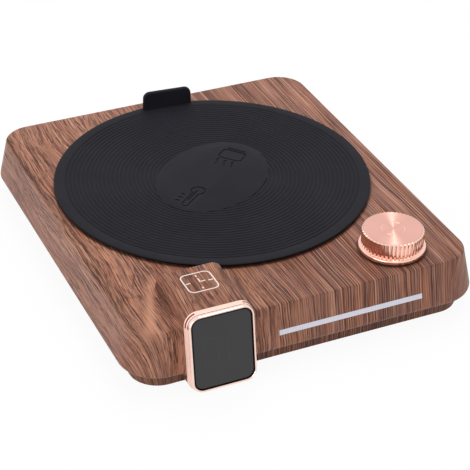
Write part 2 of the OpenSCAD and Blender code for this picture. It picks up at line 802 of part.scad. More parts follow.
// Three plugs on the control board, for the heater, the inlet and the front board
module board_connectors() {
    plug_w = 12;
    color("#efece2") {
        translate([plate_x - plug_w / 2, heater_plug_y - plug_d / 2, board_top_z])
            cube([plug_w, plug_d, plug_h]);
        translate([inlet_plug_x - plug_w / 2, inlet_plug_y - plug_d / 2, board_top_z])
            cube([plug_w, plug_d, plug_h]);
        translate([ribbon_plug_x - ribbon_w / 2 - 1, heater_plug_y - plug_d / 2, board_top_z])
            cube([ribbon_w + 2, plug_d, plug_h]);
    }
}

module board_screws() {
    head_r = 2.2;
    head_h = 1.6;
    color("silver") at_board_screws() translate([0, 0, board_top_z]) mirror([0, 0, 1])
        upright_screw(board_screw_r, board_t + post_h - drop_gap, head_r, head_h);
}

module inlet_jack() {
    color("#1e1e20") difference() {
        union() {
            at_inlet(inlet_seat_y) cylinder(r = inlet_flange_r, h = inlet_flange_t);
            at_inlet(inlet_tail_y) cylinder(r = inlet_r, h = inlet_l);
        }
        at_inlet(inlet_seat_y + inlet_flange_t - socket_depth) cylinder(r = socket_r, h = socket_depth + 1);
        at_inlet(inlet_tail_y - 1) cylinder(r = pin_r + thread_gap, h = inlet_l);
    }
}

module inlet_pin() {
    pin_back = 1;
    tail_l = 1.5;
    color("#d8d0b0") at_inlet(inlet_tail_y - tail_l)
        cylinder(r = pin_r, h = inlet_l + inlet_flange_t + tail_l - pin_back);
}

module inlet_nut() {
    color("#c8cacc") at_inlet(inlet_boss_y - inlet_nut_t) difference() {
        cylinder(r = inlet_nut_flats / 2 / cos(30), h = inlet_nut_t, $fn = 6);
        translate([0, 0, -1]) cylinder(r = inlet_r + thread_gap, h = inlet_nut_t + 2);
    }
}

module display_bezel() {
    color("#e0a794") {
        at_display() difference() {
            linear_extrude(bezel_depth) display_outline(0);
            translate([0, 0, lens_seat]) linear_extrude(bezel_depth) display_outline(bezel_lip);
            translate([0, 0, -1]) linear_extrude(bezel_depth) display_outline(bezel_lip + lens_ledge);
        }
        at_display_pegs() translate([0, 0, -peg_l]) cylinder(r = peg_r, h = peg_l + lens_seat / 2);
    }
}

module display_lens() {
    color("#2c2c30") at_display() translate([0, 0, lens_seat])
        linear_extrude(bezel_depth - lens_seat - lens_sink) display_outline(bezel_lip + close_gap);
}

module digit_module() {
    color("#e8e6e0") at_display() translate([0, 0, -face_wall])
        linear_extrude(face_wall + lens_seat - drop_gap)
            square([window_w - 2 * drop_gap, window_h - 2 * drop_gap], center = true);
}

module display_board() {
    color("#2f6b45") difference() {
        at_display() translate([0, 0, -face_wall - display_board_t]) linear_extrude(display_board_t)
            display_outline(shell_wall + drop_gap);
        at_display_screws() translate([0, 0, -3 * face_wall])
            cylinder(r = small_screw_r + drop_gap, h = 3 * face_wall);
    }
}

module display_screws() {
    head_r = 1.5;
    head_h = 1;
    bite = 0.8;
    color("silver") at_display_screws() translate([0, 0, -face_wall - display_board_t])
        upright_screw(small_screw_r, display_board_t + face_wall - 1 - bite / 2, head_r, head_h);
}

module light_bar() {
    color("#dfe2ea") at_bar() {
        translate([0, 0, -wall_n]) linear_extrude(wall_n)
            square([bar_l - 2 * close_gap, bar_h - 2 * close_gap], center = true);
        translate([0, 0, -wall_n - bar_flange_t]) linear_extrude(bar_flange_t)
            square([bar_l + 2 * bar_flange, bar_h + 2 * bar_flange], center = true);
    }
}

module bar_leds() {
    led_w = 3.5;
    led_h = 2.8;
    led_pitch = bar_l / led_count;
    color("#f4f0dc") at_bar() for (i = [0:led_count - 1])
        translate([(i - (led_count - 1) / 2) * led_pitch, 0, led_z + led_t / 2])
            cube([led_w, led_h, led_t], center = true);
}

module light_board() {
    color("#e9e9e6") difference() {
        at_bar() translate([0, 0, led_z - light_board_t]) linear_extrude(light_board_t)
            square([light_board_l, light_board_h], center = true);
        at_light_screws() translate([0, 0, led_z - 2 * light_board_t])
            cylinder(r = small_screw_r + drop_gap, h = 3 * light_board_t);
    }
}

module light_screws() {
    head_r = 1.6;
    head_h = 1;
    color("silver") at_light_screws() translate([0, 0, led_z - light_board_t])
        upright_screw(small_screw_r, light_board_t + led_t + bar_flange_t, head_r, head_h);
}

module front_board() {
    color("#2f6b45") difference() {
        translate([front_board_x0, front_board_y0, front_board_z])
            cube([front_board_x1 - front_board_x0, front_board_y1 - front_board_y0, board_t]);
        at_front_bosses() cylinder(r = board_screw_r + drop_gap, h = case_top_z);
    }
}

module front_board_screws() {
    head_r = 2.2;
    head_h = 1.6;
    color("silver") at_front_bosses() translate([0, 0, front_board_z])
        upright_screw(board_screw_r, board_t + front_boss_bite, head_r, head_h);
}

module touch_pad() {
    color("#c07a4a") translate([key_x, key_y, key_z]) rotate([-roof_slope, 0, 0])
        translate([0, 0, -pad_t - thread_gap]) cylinder(r = pad_r, h = pad_t);
}

// One tube wound upwards, with a straight end at the board and one at the pad
module touch_spring() {
    ring_count = 8 * spring_turns;
    end_l = 2 * spring_wire_r;
    climb = spring_l - 2 * end_l;
    turns = [for (i = [0:ring_count]) let (a = 360 * spring_turns * i / ring_count)
        [spring_r * cos(a), spring_r * sin(a), end_l + climb * i / ring_count]];
    route = concat([[spring_r, 0, 0]], turns, [[spring_r, 0, spring_l]]);
    echo(least_gap_between_turns = climb / spring_turns - 2 * spring_wire_r);
    color("#c8c8c8") translate([key_x, key_y, encoder_z]) tube(route, spring_wire_r, [0.02, 0.05, 1], 6);
}

module encoder_body() {
    color("#7c8084") difference() {
        union() {
            at_knob() translate([-encoder_w / 2, -encoder_w / 2, encoder_z])
                cube([encoder_w, encoder_w, encoder_h]);
            at_knob() translate([0, 0, ceiling_z - 1]) cylinder(r = bushing_r, h = bushing_h + 1);
        }
        at_knob() translate([0, 0, encoder_z + encoder_floor])
            cylinder(r = plunger_r + plunger_room, h = encoder_roof_z - encoder_z - encoder_floor);
        at_knob() translate([0, 0, encoder_z + encoder_floor])
            cylinder(r = shaft_r + thread_gap, h = case_top_z);
    }
}

module encoder_dome() {
    color("#d8d8d4") at_knob() translate([0, 0, encoder_z + encoder_floor])
        cylinder(r = plunger_r - plunger_room, h = dome_t);
}

module encoder_washer() {
    color("#c8cacc") at_knob() translate([0, 0, case_top_z]) difference() {
        cylinder(r = nut_flats / 2 + 0.4, h = washer_t);
        translate([0, 0, -1]) cylinder(r = bushing_r + close_gap, h = washer_t + 2);
    }
}

module encoder_nut() {
    color("#c8cacc") at_knob() translate([0, 0, case_top_z + washer_t]) difference() {
        cylinder(r = nut_flats / 2 / cos(30), h = nut_t, $fn = 6);
        translate([0, 0, -1]) cylinder(r = bushing_r + thread_gap, h = nut_t + 2);
    }
}

module encoder_plunger() {
    color("#ececea") at_knob() translate([0, 0, plunger_z]) cylinder(r = plunger_r, h = plunger_t);
}

module encoder_shaft() {
    color("#b8bcc0") at_knob() difference() {
        union() {
            translate([0, 0, foot_z]) cylinder(r = plunger_r, h = shaft_foot_t);
            translate([0, 0, foot_z]) cylinder(r = shaft_r, h = shaft_top_z - foot_z);
        }
        translate([shaft_flat, -shaft_r, hub_z]) cube([shaft_r, 2 * shaft_r, knob_top_z]);
    }
}

module knob() {
    body_r = knob_d / 2;
    inner_r = body_r - knob_wall;
    profile = [
        [inner_r, skirt_z], [skirt_d / 2, skirt_z], [skirt_d / 2, skirt_z + skirt_t], [body_r, skirt_z + skirt_t],
        [body_r, knob_top_z], [0, knob_top_z], [0, hub_top_z], [inner_r, hub_top_z]
    ];
    color("#e0a794") at_knob() difference() {
        union() {
            rotate_extrude() polygon(profile);
            translate([0, 0, hub_z]) cylinder(r = hub_r, h = hub_top_z - hub_z + knob_top_t / 2);
        }
        // The bore has a flat that keys it to the shaft
        translate([0, 0, hub_z - 1]) difference() {
            cylinder(r = shaft_r + thread_gap, h = hub_top_z - hub_z + 1);
            translate([shaft_flat + thread_gap, -shaft_r, 0]) cube([shaft_r, 2 * shaft_r, knob_h]);
        }
        for (i = [0:flute_count - 1]) rotate(360 * i / flute_count)
            translate([body_r, 0, skirt_z + skirt_t + flute_foot]) cylinder(r = flute_r, h = knob_h, $fn = 24);
    }
}

// An open spring ring round the knob's hub
module knob_clip() {
    clip_t = 0.6;
    clip_h = 2;
    clip_r = hub_r + thread_gap;
    color("#b0b4b8") at_knob() translate([0, 0, hub_z + close_gap]) difference() {
        cylinder(r = clip_r + clip_t, h = clip_h);
        translate([0, 0, -1]) cylinder(r = clip_r, h = clip_h + 2);
        translate([0, -hub_r / 4, -1]) cube([2 * hub_r, hub_r / 2, clip_h + 2]);
    }
}

module silicone_mat() {
    low_h = mat_t - ridge_h;
    band = mat_r - mat_border - mat_middle_r;
    ridge_count = floor(band / ridge_pitch);
    ridges = [for (i = [0:ridge_count - 1]) let (r = mat_middle_r + i * ridge_pitch)
        each [[r + ridge_pitch * 0.3, low_h], [r + ridge_pitch * 0.7, mat_t]]];
    edge = mat_t / 3;
    profile = concat(
        [[0, 0], [mat_r, 0], [mat_r, mat_t - edge], [mat_r - edge, mat_t], [mat_r - mat_border, mat_t]],
        [for (i = [len(ridges) - 1:-1:0]) ridges[i]],
        [[mat_middle_r, mat_t], [0, mat_t]]
    );
    tab_rise = mat_t + tab_h;
    color("#303034") at_plate() rotate(mat_turn) translate([0, 0, case_top_z]) {
        rotate_extrude() polygon(profile);
        translate([0, mat_r - mat_overlap, 0]) rotate([90, 0, 0]) linear_extrude(tab_t, center = true) {
            translate([-tab_w / 2, 0]) square([tab_w, tab_rise - tab_corner_r]);
            translate([-tab_w / 2 + tab_corner_r, 0]) square([tab_w - 2 * tab_corner_r, tab_rise]);
            for (side = [-1, 1])
                translate([side * (tab_w / 2 - tab_corner_r), tab_rise - tab_corner_r]) circle(tab_corner_r);
        }
    }
}

module heater_leads() {
    plug_z = board_top_z + plug_h / 2;
    plug_y = heater_plug_y - plug_d / 2 - drop_gap;
    start_y = plate_y - lead_front;
    color("#b03028") for (side = [-1, 1])
        tube(smooth_route([
            [plate_x + side * lead_side, start_y, heater_z - close_gap],
            [plate_x + side * lead_side, start_y, insulation_z - lead_drop],
            [plate_x + side * lead_side, start_y + 3 * lead_drop, insulation_z - 5 * lead_drop],
            [plate_x + side * lead_side, plug_y - lead_run, plug_z + lead_drop],
            [plate_x + side * lead_side, plug_y, plug_z]
        ], 5), wire_r, [1, 0, 0], 8);
}

module inlet_leads() {
    plug_z = board_top_z + plug_h / 2;
    plug_y = inlet_plug_y + plug_d / 2 + drop_gap;
    color("#2a2a2e") for (side = [-1, 1])
        tube(smooth_route([
            [inlet_x + side * lead_apart, inlet_tail_y - drop_gap, inlet_z],
            [inlet_x + side * lead_apart, inlet_tail_y - lead_run, inlet_z - lead_drop],
            [inlet_plug_x + side * lead_apart, plug_y + lead_run, plug_z + lead_drop],
            [inlet_plug_x + side * lead_apart, plug_y, plug_z]
        ], 5), wire_r, [0, 0.1, 1], 8);
}

module front_ribbon() {
    start_z = encoder_z + ribbon_t / 2 + thread_gap;
    plug_z = board_top_z + plug_h / 2;
    plug_y = heater_plug_y - plug_d / 2 - close_gap;
    color("#cfd2d6") translate([ribbon_plug_x, 0, 0]) ribbon([
        [front_board_y1 - 5, start_z],
        [front_board_y1 + 1, start_z],
        [front_board_y1 + 4, start_z - 2],
        [front_board_y1 + 8, plug_z + 2],
        [front_board_y1 + 12, plug_z],
        [plug_y, plug_z]
    ], ribbon_w);
}

module display_ribbon() {
    start = on_display([0, 2, -face_wall - display_board_t - close_gap]);
    land_z = encoder_z + ribbon_t / 2 + thread_gap;
    color("#cfd2d6") translate([display_x, 0, 0]) ribbon([
        [start.y, start.z],
        [start.y + 3, start.z],
        [front_board_y0 - 1, land_z],
        [front_board_y0 + 5, land_z]
    ], ribbon_w);
}

module light_leads() {
    lead_r = 0.6;
    back = [bar_y + (light_board_t - led_z) * cos(lean), bar_z - (light_board_t - led_z) * sin(lean)];
    end_z = front_board_z - lead_r - drop_gap;
    color("#b8443a") for (side = [-1, 1])
        tube(smooth_route([
            [bar_x + side * 2, back.x + close_gap, back.y],
            [bar_x + side * 2, back.x + 2, back.y],
            [bar_x + side * 2, front_board_y0 + 1, end_z],
            [bar_x + side * 2, front_board_y0 + 5, end_z]
        ], 4), lead_r, [1, 0, 0], 8);
}

upper_shell();
bottom_cover();
rubber_feet();
cover_screws();
heating_plate();
plate_gasket();
foil_heater();
insulation_disc();
clamp_bracket();
bracket_screws();
thermistor();
thermal_fuse();
control_board();
board_capacitors();
control_chip();
power_transistor();
board_connectors();
board_screws();
inlet_jack();
inlet_pin();
inlet_nut();
display_bezel();
display_lens();
digit_module();
display_board();
display_screws();
light_bar();
bar_leds();
light_board();
light_screws();
front_board();
front_board_screws();
touch_pad();
touch_spring();
encoder_body();
encoder_dome();
encoder_washer();
encoder_nut();
encoder_plunger();
encoder_shaft();
knob();
knob_clip();
silicone_mat();
heater_leads();
inlet_leads();
front_ribbon();
display_ribbon();
light_leads();
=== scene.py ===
"""Looks of a jar warmer: a wood-print warming plate with a ridged mat, a fluted knob and a small display.

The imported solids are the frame. Each operator builds one piece, or a group of like pieces, in metres
and in place.
"""

import json
import math

import bmesh
import bpy
from bmesh.types import BMEdge, BMFace, BMVert
from bpy.props import FloatProperty, FloatVectorProperty, IntProperty, PointerProperty
from mathutils import Matrix, Vector
from mathutils.bvhtree import BVHTree


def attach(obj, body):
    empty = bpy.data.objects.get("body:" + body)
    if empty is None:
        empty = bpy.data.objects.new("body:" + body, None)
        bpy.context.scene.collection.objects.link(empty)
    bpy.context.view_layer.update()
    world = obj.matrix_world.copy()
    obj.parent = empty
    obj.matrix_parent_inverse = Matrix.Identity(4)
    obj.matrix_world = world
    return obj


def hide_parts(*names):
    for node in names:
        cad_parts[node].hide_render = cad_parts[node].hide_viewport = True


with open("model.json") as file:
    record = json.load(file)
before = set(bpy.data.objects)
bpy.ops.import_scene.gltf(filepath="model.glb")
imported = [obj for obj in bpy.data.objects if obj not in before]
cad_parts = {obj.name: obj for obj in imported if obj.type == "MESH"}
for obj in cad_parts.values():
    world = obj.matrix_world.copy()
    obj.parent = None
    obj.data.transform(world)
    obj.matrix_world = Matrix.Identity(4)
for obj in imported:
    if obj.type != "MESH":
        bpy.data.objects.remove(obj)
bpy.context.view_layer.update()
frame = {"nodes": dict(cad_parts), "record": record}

bl_info = {
    "name": "Jar warmer",
    "version": (1, 0, 0),
    "blender": (4, 5, 0),
    "location": "3D View > Sidebar > Jar warmer",
    "description": "Builds the looks of a wood-print jar warmer around its packed solids",
    "category": "Mesh",
}

MM = 1000.0
TINY = 1e-9
WELD = 1e-7
HAIR = 1e-5
QUARTER = math.radians(90)
WHITE = (1.0, 1.0, 1.0, 1.0)
ORIGIN = Vector((0.0, 0.0, 0.0))
AXES = (Vector((1.0, 0.0, 0.0)), Vector((0.0, 1.0, 0.0)), Vector((0.0, 0.0, 1.0)))


def linear(red, green, blue):
    """A screen colour from 0 to 255 as linear light."""

    def channel(value):
        share = value / 255
        return share / 12.92 if share <= 0.04045 else ((share + 0.055) / 1.055) ** 2.4

    return (channel(red), channel(green), channel(blue), 1.0)


def length(name, description, default):
    """A size in metres."""
    return FloatProperty(name=name, description=description, default=default, precision=5, unit="LENGTH")


def angle(name, description, degrees):
    """An angle, written in degrees and kept in radians."""
    return FloatProperty(name=name, description=description, default=math.radians(degrees), subtype="ANGLE")


def colour(name, description, *screen):
    """A screen colour from 0 to 255, kept in linear light."""
    return FloatVectorProperty(
        name=name, description=description, default=linear(*screen), size=4, min=0.0, max=1.0, subtype="COLOR"
    )


def power(name, description, default):
    """The power of a light."""
    return FloatProperty(name=name, description=description, default=default, unit="POWER")


class WarmerSizes(bpy.types.PropertyGroup):
    """Sizes of the pieces."""

    case_w: length("Case width", "Width of the case's top face", 0.162)
    case_d: length("Case depth", "Depth of the case's top face", 0.1886)
    case_y: length("Case middle", "Place of the case's middle along its depth", 0.00375)
    case_top: length("Case top", "Height of the case's top face", 0.0289)
    case_corner_r: length("Case corner", "Corner radius of the top face", 0.014)
    case_flare: length("Case flare", "How far the widest line stands outside the top face", 0.0038)
    case_rim: length("Case rim", "Height of the case's lower rim", 0.0074)
    under_edge_r: length("Lower edge", "Radius of the case's lower edge", 0.003)
    top_edge_r: length("Upper edge", "Radius of the case's upper edge", 0.0012)
    shell_wall: length("Case wall", "Wall of the case", 0.0024)
    pod_rear: length("Pod rear", "Place of the pod's rear end along the depth", -0.05968)
    pod_rise: length("Pod rise", "Height of the pod's rear end over the top face", 0.0081)
    pod_roof_r: length("Pod roof", "Radius of the roof's long edges at the pod's rear", 0.0046)
    pod_rear_r: length("Pod rear edge", "Radius of the pod's rear edge", 0.0015)
    pod_depth: length("Pod nose", "Depth of the pod's straight nose behind the display", 0.006)
    pod_low: length("Pod foot", "Height of the pod's lower end", 0.001)
    skin: length("Skin step", "Step of the fine skin that joins the case and the pod", 0.0008)
    display_x: length("Display place", "Middle of the display across the case", -0.0455)
    display_y: length("Display depth", "Middle of the display's back plane along the depth", -0.09475)
    display_z: length("Display height", "Middle of the display's back plane above the table", 0.01919)
    display_w: length("Display width", "Width of the display's frame", 0.0305)
    display_h: length("Display length", "Length of the display's frame", 0.0368)
    display_corner_r: length("Display corner", "Corner radius of the display's frame", 0.0056)
    display_tilt: angle("Display tilt", "How far the display leans back", 8.6)
    bezel_depth: length("Frame depth", "Depth of the display's frame", 0.0044)
    bezel_lip: length("Frame lip", "Width of the frame's lip beside the glass", 0.0013)
    bezel_proud: length("Frame step", "How far the frame stands outside the pod's outline", 0.0003)
    bezel_band: length("Frame band", "Depth of the frame's flank behind its groove", 0.0025)
    bezel_groove: length("Frame groove", "Width of the groove round the frame", 0.00022)
    bezel_chamfer: length("Frame chamfer", "Chamfer of the lip beside the glass", 0.00022)
    lens_seat: length("Glass seat", "Depth of the seat that carries the glass", 0.0014)
    lens_sink: length("Glass depth", "How far the glass lies below the frame's front", 0.0006)
    plate_x: length("Mat place", "Middle of the mat across the case", -0.0014)
    plate_y: length("Mat depth place", "Middle of the mat along the depth", 0.01435)
    plate_r: length("Plate radius", "Radius of the heating plate", 0.073)
    mat_r: length("Mat radius", "Radius of the mat", 0.075)
    mat_t: length("Mat thickness", "Thickness of the mat", 0.002)
    mat_edge_r: length("Mat edge", "Radius of the mat's upper edge", 0.0005)
    mat_undercut: length("Mat undercut", "How far the mat's wall draws in at its foot", 0.0014)
    mat_middle_r: length("Mat middle", "Radius where the mat's ridges end", 0.024)
    oval_l: length("Oval length", "Length of the mat's plain oval", 0.067)
    oval_w: length("Oval width", "Width of the mat's plain oval", 0.05)
    oval_turn: angle("Oval turn", "How far the oval and its marks are turned on the mat", 45.0)
    mat_border: length("Mat border", "Width of the mat's plain border", 0.005)
    ridge_pitch: length("Ridge pitch", "Distance from one ridge to the next", 0.002)
    ridge_h: length("Ridge height", "Height of the ridges", 0.0004)
    mat_turn: angle("Mat turn", "How far the mat is turned", -5.0)
    tab_w: length("Tab width", "Width of the pull tab", 0.0256)
    tab_t: length("Tab thickness", "Thickness of the pull tab", 0.0022)
    tab_top: length("Tab top", "Height of the pull tab's top", 0.0398)
    tab_corner_r: length("Tab corner", "Radius of the pull tab's upper corners", 0.0032)
    tab_out: length("Tab place", "Distance of the pull tab from the mat's middle", 0.073)
    knob_x: length("Knob place", "Knob's axis across the case", 0.049)
    knob_y: length("Knob depth place", "Knob's axis along the depth", -0.07075)
    knob_r: length("Knob radius", "Radius of the knob's fluted body", 0.014)
    knob_top: length("Knob top", "Height of the knob's top", 0.0392)
    knob_wall: length("Knob wall", "Wall of the knob", 0.0026)
    knob_cap: length("Knob cap", "Thickness of the knob's top", 0.0016)
    skirt_r: length("Skirt radius", "Radius of the knob's skirt", 0.01525)
    skirt_low: length("Skirt height", "Height of the skirt's lower face", 0.0295)
    skirt_t: length("Skirt thickness", "Thickness of the knob's skirt", 0.002)
    flute_count: IntProperty(name="Flutes", description="Number of flutes on the knob", default=46, min=12)
    flute_depth: length("Flute depth", "Depth of the knob's flutes", 0.00065)
    bar_x: length("Light bar place", "Middle of the light bar across the case", 0.0181)
    bar_y: length("Light bar depth", "Middle of the light bar along the depth", -0.09312)
    bar_z: length("Light bar height", "Height of the light bar's middle", 0.016)
    bar_l: length("Light bar length", "Length of the light bar", 0.07)
    bar_h: length("Light bar width", "Width of the light bar", 0.0026)
    wall_lean: angle("Wall lean", "How far the case's walls lean in", 12.39)
    inlet_x: length("Inlet place", "Power inlet's axis across the case", 0.045)
    inlet_z: length("Inlet height", "Power inlet's axis above the table", 0.017)
    key_x: length("Key place", "Middle of the clock key across the case", -0.0452)
    key_y: length("Key depth place", "Middle of the clock key along the depth", -0.0723)
    key_size: length("Key size", "Width of the clock key's outline", 0.0141)
    key_line: length("Key line", "Width of the clock key's printed lines", 0.00062)


class WarmerColours(bpy.types.PropertyGroup):
    """Colours of the finishes."""

    wood_mid: colour("Wood", "Middle colour of the wood print", 171, 111, 84)
    wood_light: colour("Light wood", "Light streaks of the wood print", 204, 148, 117)
    wood_dark: colour("Dark wood", "Dark lines of the wood print", 66, 36, 27)
    wood_grey: colour("Grey wood", "Mauve-grey streaks of the wood print", 136, 95, 86)
    wood_gleam: colour("Pale lines", "Fine pale lines of the wood print", 206, 158, 138)
    # Painted light: the left wall's paler mauve tone stands in for the light and sheen from the left.
    wood_painted_light: colour("Pale wood", "Mauve tone of the print on the left wall", 172, 134, 124)
    plinth: colour("Plinth", "Moulded bottom cover", 122, 80, 64)
    silicone: colour("Silicone", "Ridged mat", 20, 20, 27)
    # Painted shade: a darker copy of the silicone for the mat's outer wall.
    silicone_painted_shade: colour("Silicone edge", "Mat's outer wall", 7, 7, 9)
    rose_gold: colour("Rose gold", "Knob's fluted side and skirt", 254, 208, 191)
    turned_gold: colour("Turned rose gold", "Knob's top", 246, 190, 176)
    frame_gold: colour("Frame", "Satin flank of the display's frame", 255, 213, 197)
    # Painted highlight: a lighter copy of the rose gold for the lip beside the glass and the frame's upper
    # side.
    painted_highlight_gold: colour("Cut rose gold", "Bright lip beside the glass", 252, 220, 208)
    # Painted shade and dark reflection: a darker copy of the rose gold for the frame's groove and corners.
    painted_shade_gold: colour("Deep rose gold", "Groove of the display's frame", 132, 72, 60)
    glass: colour("Smoked glass", "Display glass", 34, 33, 36)
    # Painted shadow: a darker, less glossy copy of the glass for its rounded border, beside the frame.
    glass_painted_shadow: colour("Glass border", "Dark border printed under the glass", 16, 12, 13)
    segment: colour("Segments", "Unlit segments behind the glass", 37, 36, 39)
    diffuser: colour("Light bar", "Milky bar in the front wall", 222, 221, 232)
    key_print: colour("Key print", "Printed clock key", 240, 222, 212)


class WarmerStage(bpy.types.PropertyGroup):
    """Camera and light."""

    aim_x: length("Aim across", "Point that the camera looks at, across", 0.006983)
    aim_y: length("Aim along", "Point that the camera looks at, along the depth", 0.005883)
    aim_z: length("Aim height", "Point that the camera looks at, above the table", 0.000126)
    distance: length("Distance", "Distance of the camera from that point", 0.7959)
    azimuth: angle("Azimuth", "Turn of the camera round the object", -24.667)
    elevation: angle("Elevation", "Height of the camera over the table", 33.31)
    roll: angle("Roll", "Turn of the camera about its axis", 0.862)
    lens: FloatProperty(name="Lens", description="Focal length in millimetres", default=126.11, min=10.0)
    ambient: FloatProperty(name="Ambient", description="Light from all round", default=0.62, min=0.0)
    key_power: power("Key light", "Power of the soft box overhead", 3.8)
    strip_power: power("Strip light", "Power of the strip overhead", 1.3)
    side_power: power("Side light", "Power of the card at the left", 3.4)


def arithmetic(operation):
    """Two methods that add a Math node, with the wire as its first and as its second value."""

    def first(self, other):
        return self.math(operation, self, other)

    def second(self, other):
        return self.math(operation, other, self)

    return first, second


class Wire:
    """A shader value. Arithmetic on it adds Math nodes, and node() adds any other node."""

    def __init__(self, tree, socket=None):
        self.tree = tree
        self.socket = socket

    __add__, __radd__ = arithmetic("ADD")
    __sub__, __rsub__ = arithmetic("SUBTRACT")
    __mul__ = arithmetic("MULTIPLY")[0]
    __truediv__ = arithmetic("DIVIDE")[0]
    __pow__ = arithmetic("POWER")[0]

    def node(self, kind, inputs=None, output=0, **settings):
        """Adds a node, sets it up, feeds its sockets with values or wires and gives back one output."""
        made = self.tree.nodes.new(kind)
        for key, value in settings.items():
            setattr(made, key, value)
        for key, value in (inputs or {}).items():
            feed(made.inputs[key], value)
        return Wire(self.tree, made.outputs[output])

    def math(self, operation, first, second=0.0):
        """A Math node."""
        return self.node("ShaderNodeMath", {0: first, 1: second}, operation=operation)

    def vector(self, x, y, z):
        """A vector of three values."""
        return self.node("ShaderNodeCombineXYZ", {0: x, 1: y, 2: z})

    def axes(self):
        """The three values of a vector."""
        made = self.tree.nodes.new("ShaderNodeSeparateXYZ")
        feed(made.inputs[0], self)
        return [Wire(self.tree, output) for output in made.outputs]

    def noise(self, place, scale=1.0, detail=2.0, roughness=0.5):
        """Soft noise, about 0.5 on average."""
        inputs = {"Vector": place, "Scale": scale, "Detail": detail, "Roughness": roughness}
        return self.node("ShaderNodeTexNoise", inputs)

    def between(self, low, high):
        """0 below low, 1 above high, and a smooth step between them."""
        inputs = {"Value": self, "From Min": low, "From Max": high}
        return self.node("ShaderNodeMapRange", inputs, interpolation_type="SMOOTHSTEP")

    def blend(self, first, second):
        """A colour between two, by this value."""
        return self.node("ShaderNodeMix", {0: self, 6: first, 7: second}, 2, data_type="RGBA")

    def millimetres(self):
        """A vector in metres, turned into millimetres."""
        return self.node("ShaderNodeVectorMath", {0: self, "Scale": MM}, operation="SCALE")

    def place(self):
        """Object coordinates in millimetres."""
        return self.node("ShaderNodeTexCoord", None, "Object").millimetres()

    def reach(self, x, y):
        """Distance in millimetres from an upright axis, whose place is in metres."""
        place = self.node("ShaderNodeTexCoord", None, "Object")
        place = self.node("ShaderNodeMapping", {"Vector": place, "Location": (-x, -y, 0.0)})
        across, along, _ = place.axes()
        flat = self.vector(across, along, 0.0)
        return self.node("ShaderNodeVectorMath", {0: flat}, "Value", operation="LENGTH") * MM


def feed(socket, value):
    """Sets a socket to a value or links it to a wire."""
    if isinstance(value, Wire):
        value.tree.links.new(value.socket, socket)
    else:
        socket.default_value = value


def start_finish(name):
    """A new material, and a wire to start its expressions from."""
    material = bpy.data.materials.new(name)
    material.use_nodes = True
    return material, Wire(material.node_tree)


def end_finish(material, tone, roughness, bump=None, constants=None):
    """Feeds a material's shader. Bump is a height, with its distance in metres and its strength."""
    values = {"Base Color": tone, "Roughness": roughness, **(constants or {})}
    if bump:
        inputs = dict(zip(("Height", "Distance", "Strength"), bump))
        values["Normal"] = bump[0].node("ShaderNodeBump", inputs, "Normal")
    shader = material.node_tree.nodes["Principled BSDF"].inputs
    for name, value in values.items():
        feed(shader[name], value)
    return material


def toned(tint, share, lift=0.0):
    """A darker or paler tone of a colour."""
    return tuple(min(1.0, share * part + lift) for part in tint[:3]) + (1.0,)


def painted_contact_shadow(across, along, ring, width):
    """Painted contact shadow: 1 under a round piece's edge, falling to 0 at a width outside it, in
    millimetres.
    """
    x, y, radius = (MM * size for size in ring)
    under = 0.2
    reach = ((across - x) ** 2.0 + (along - y) ** 2.0) ** 0.5
    return 1.0 - reach.between(radius - under, radius + width)


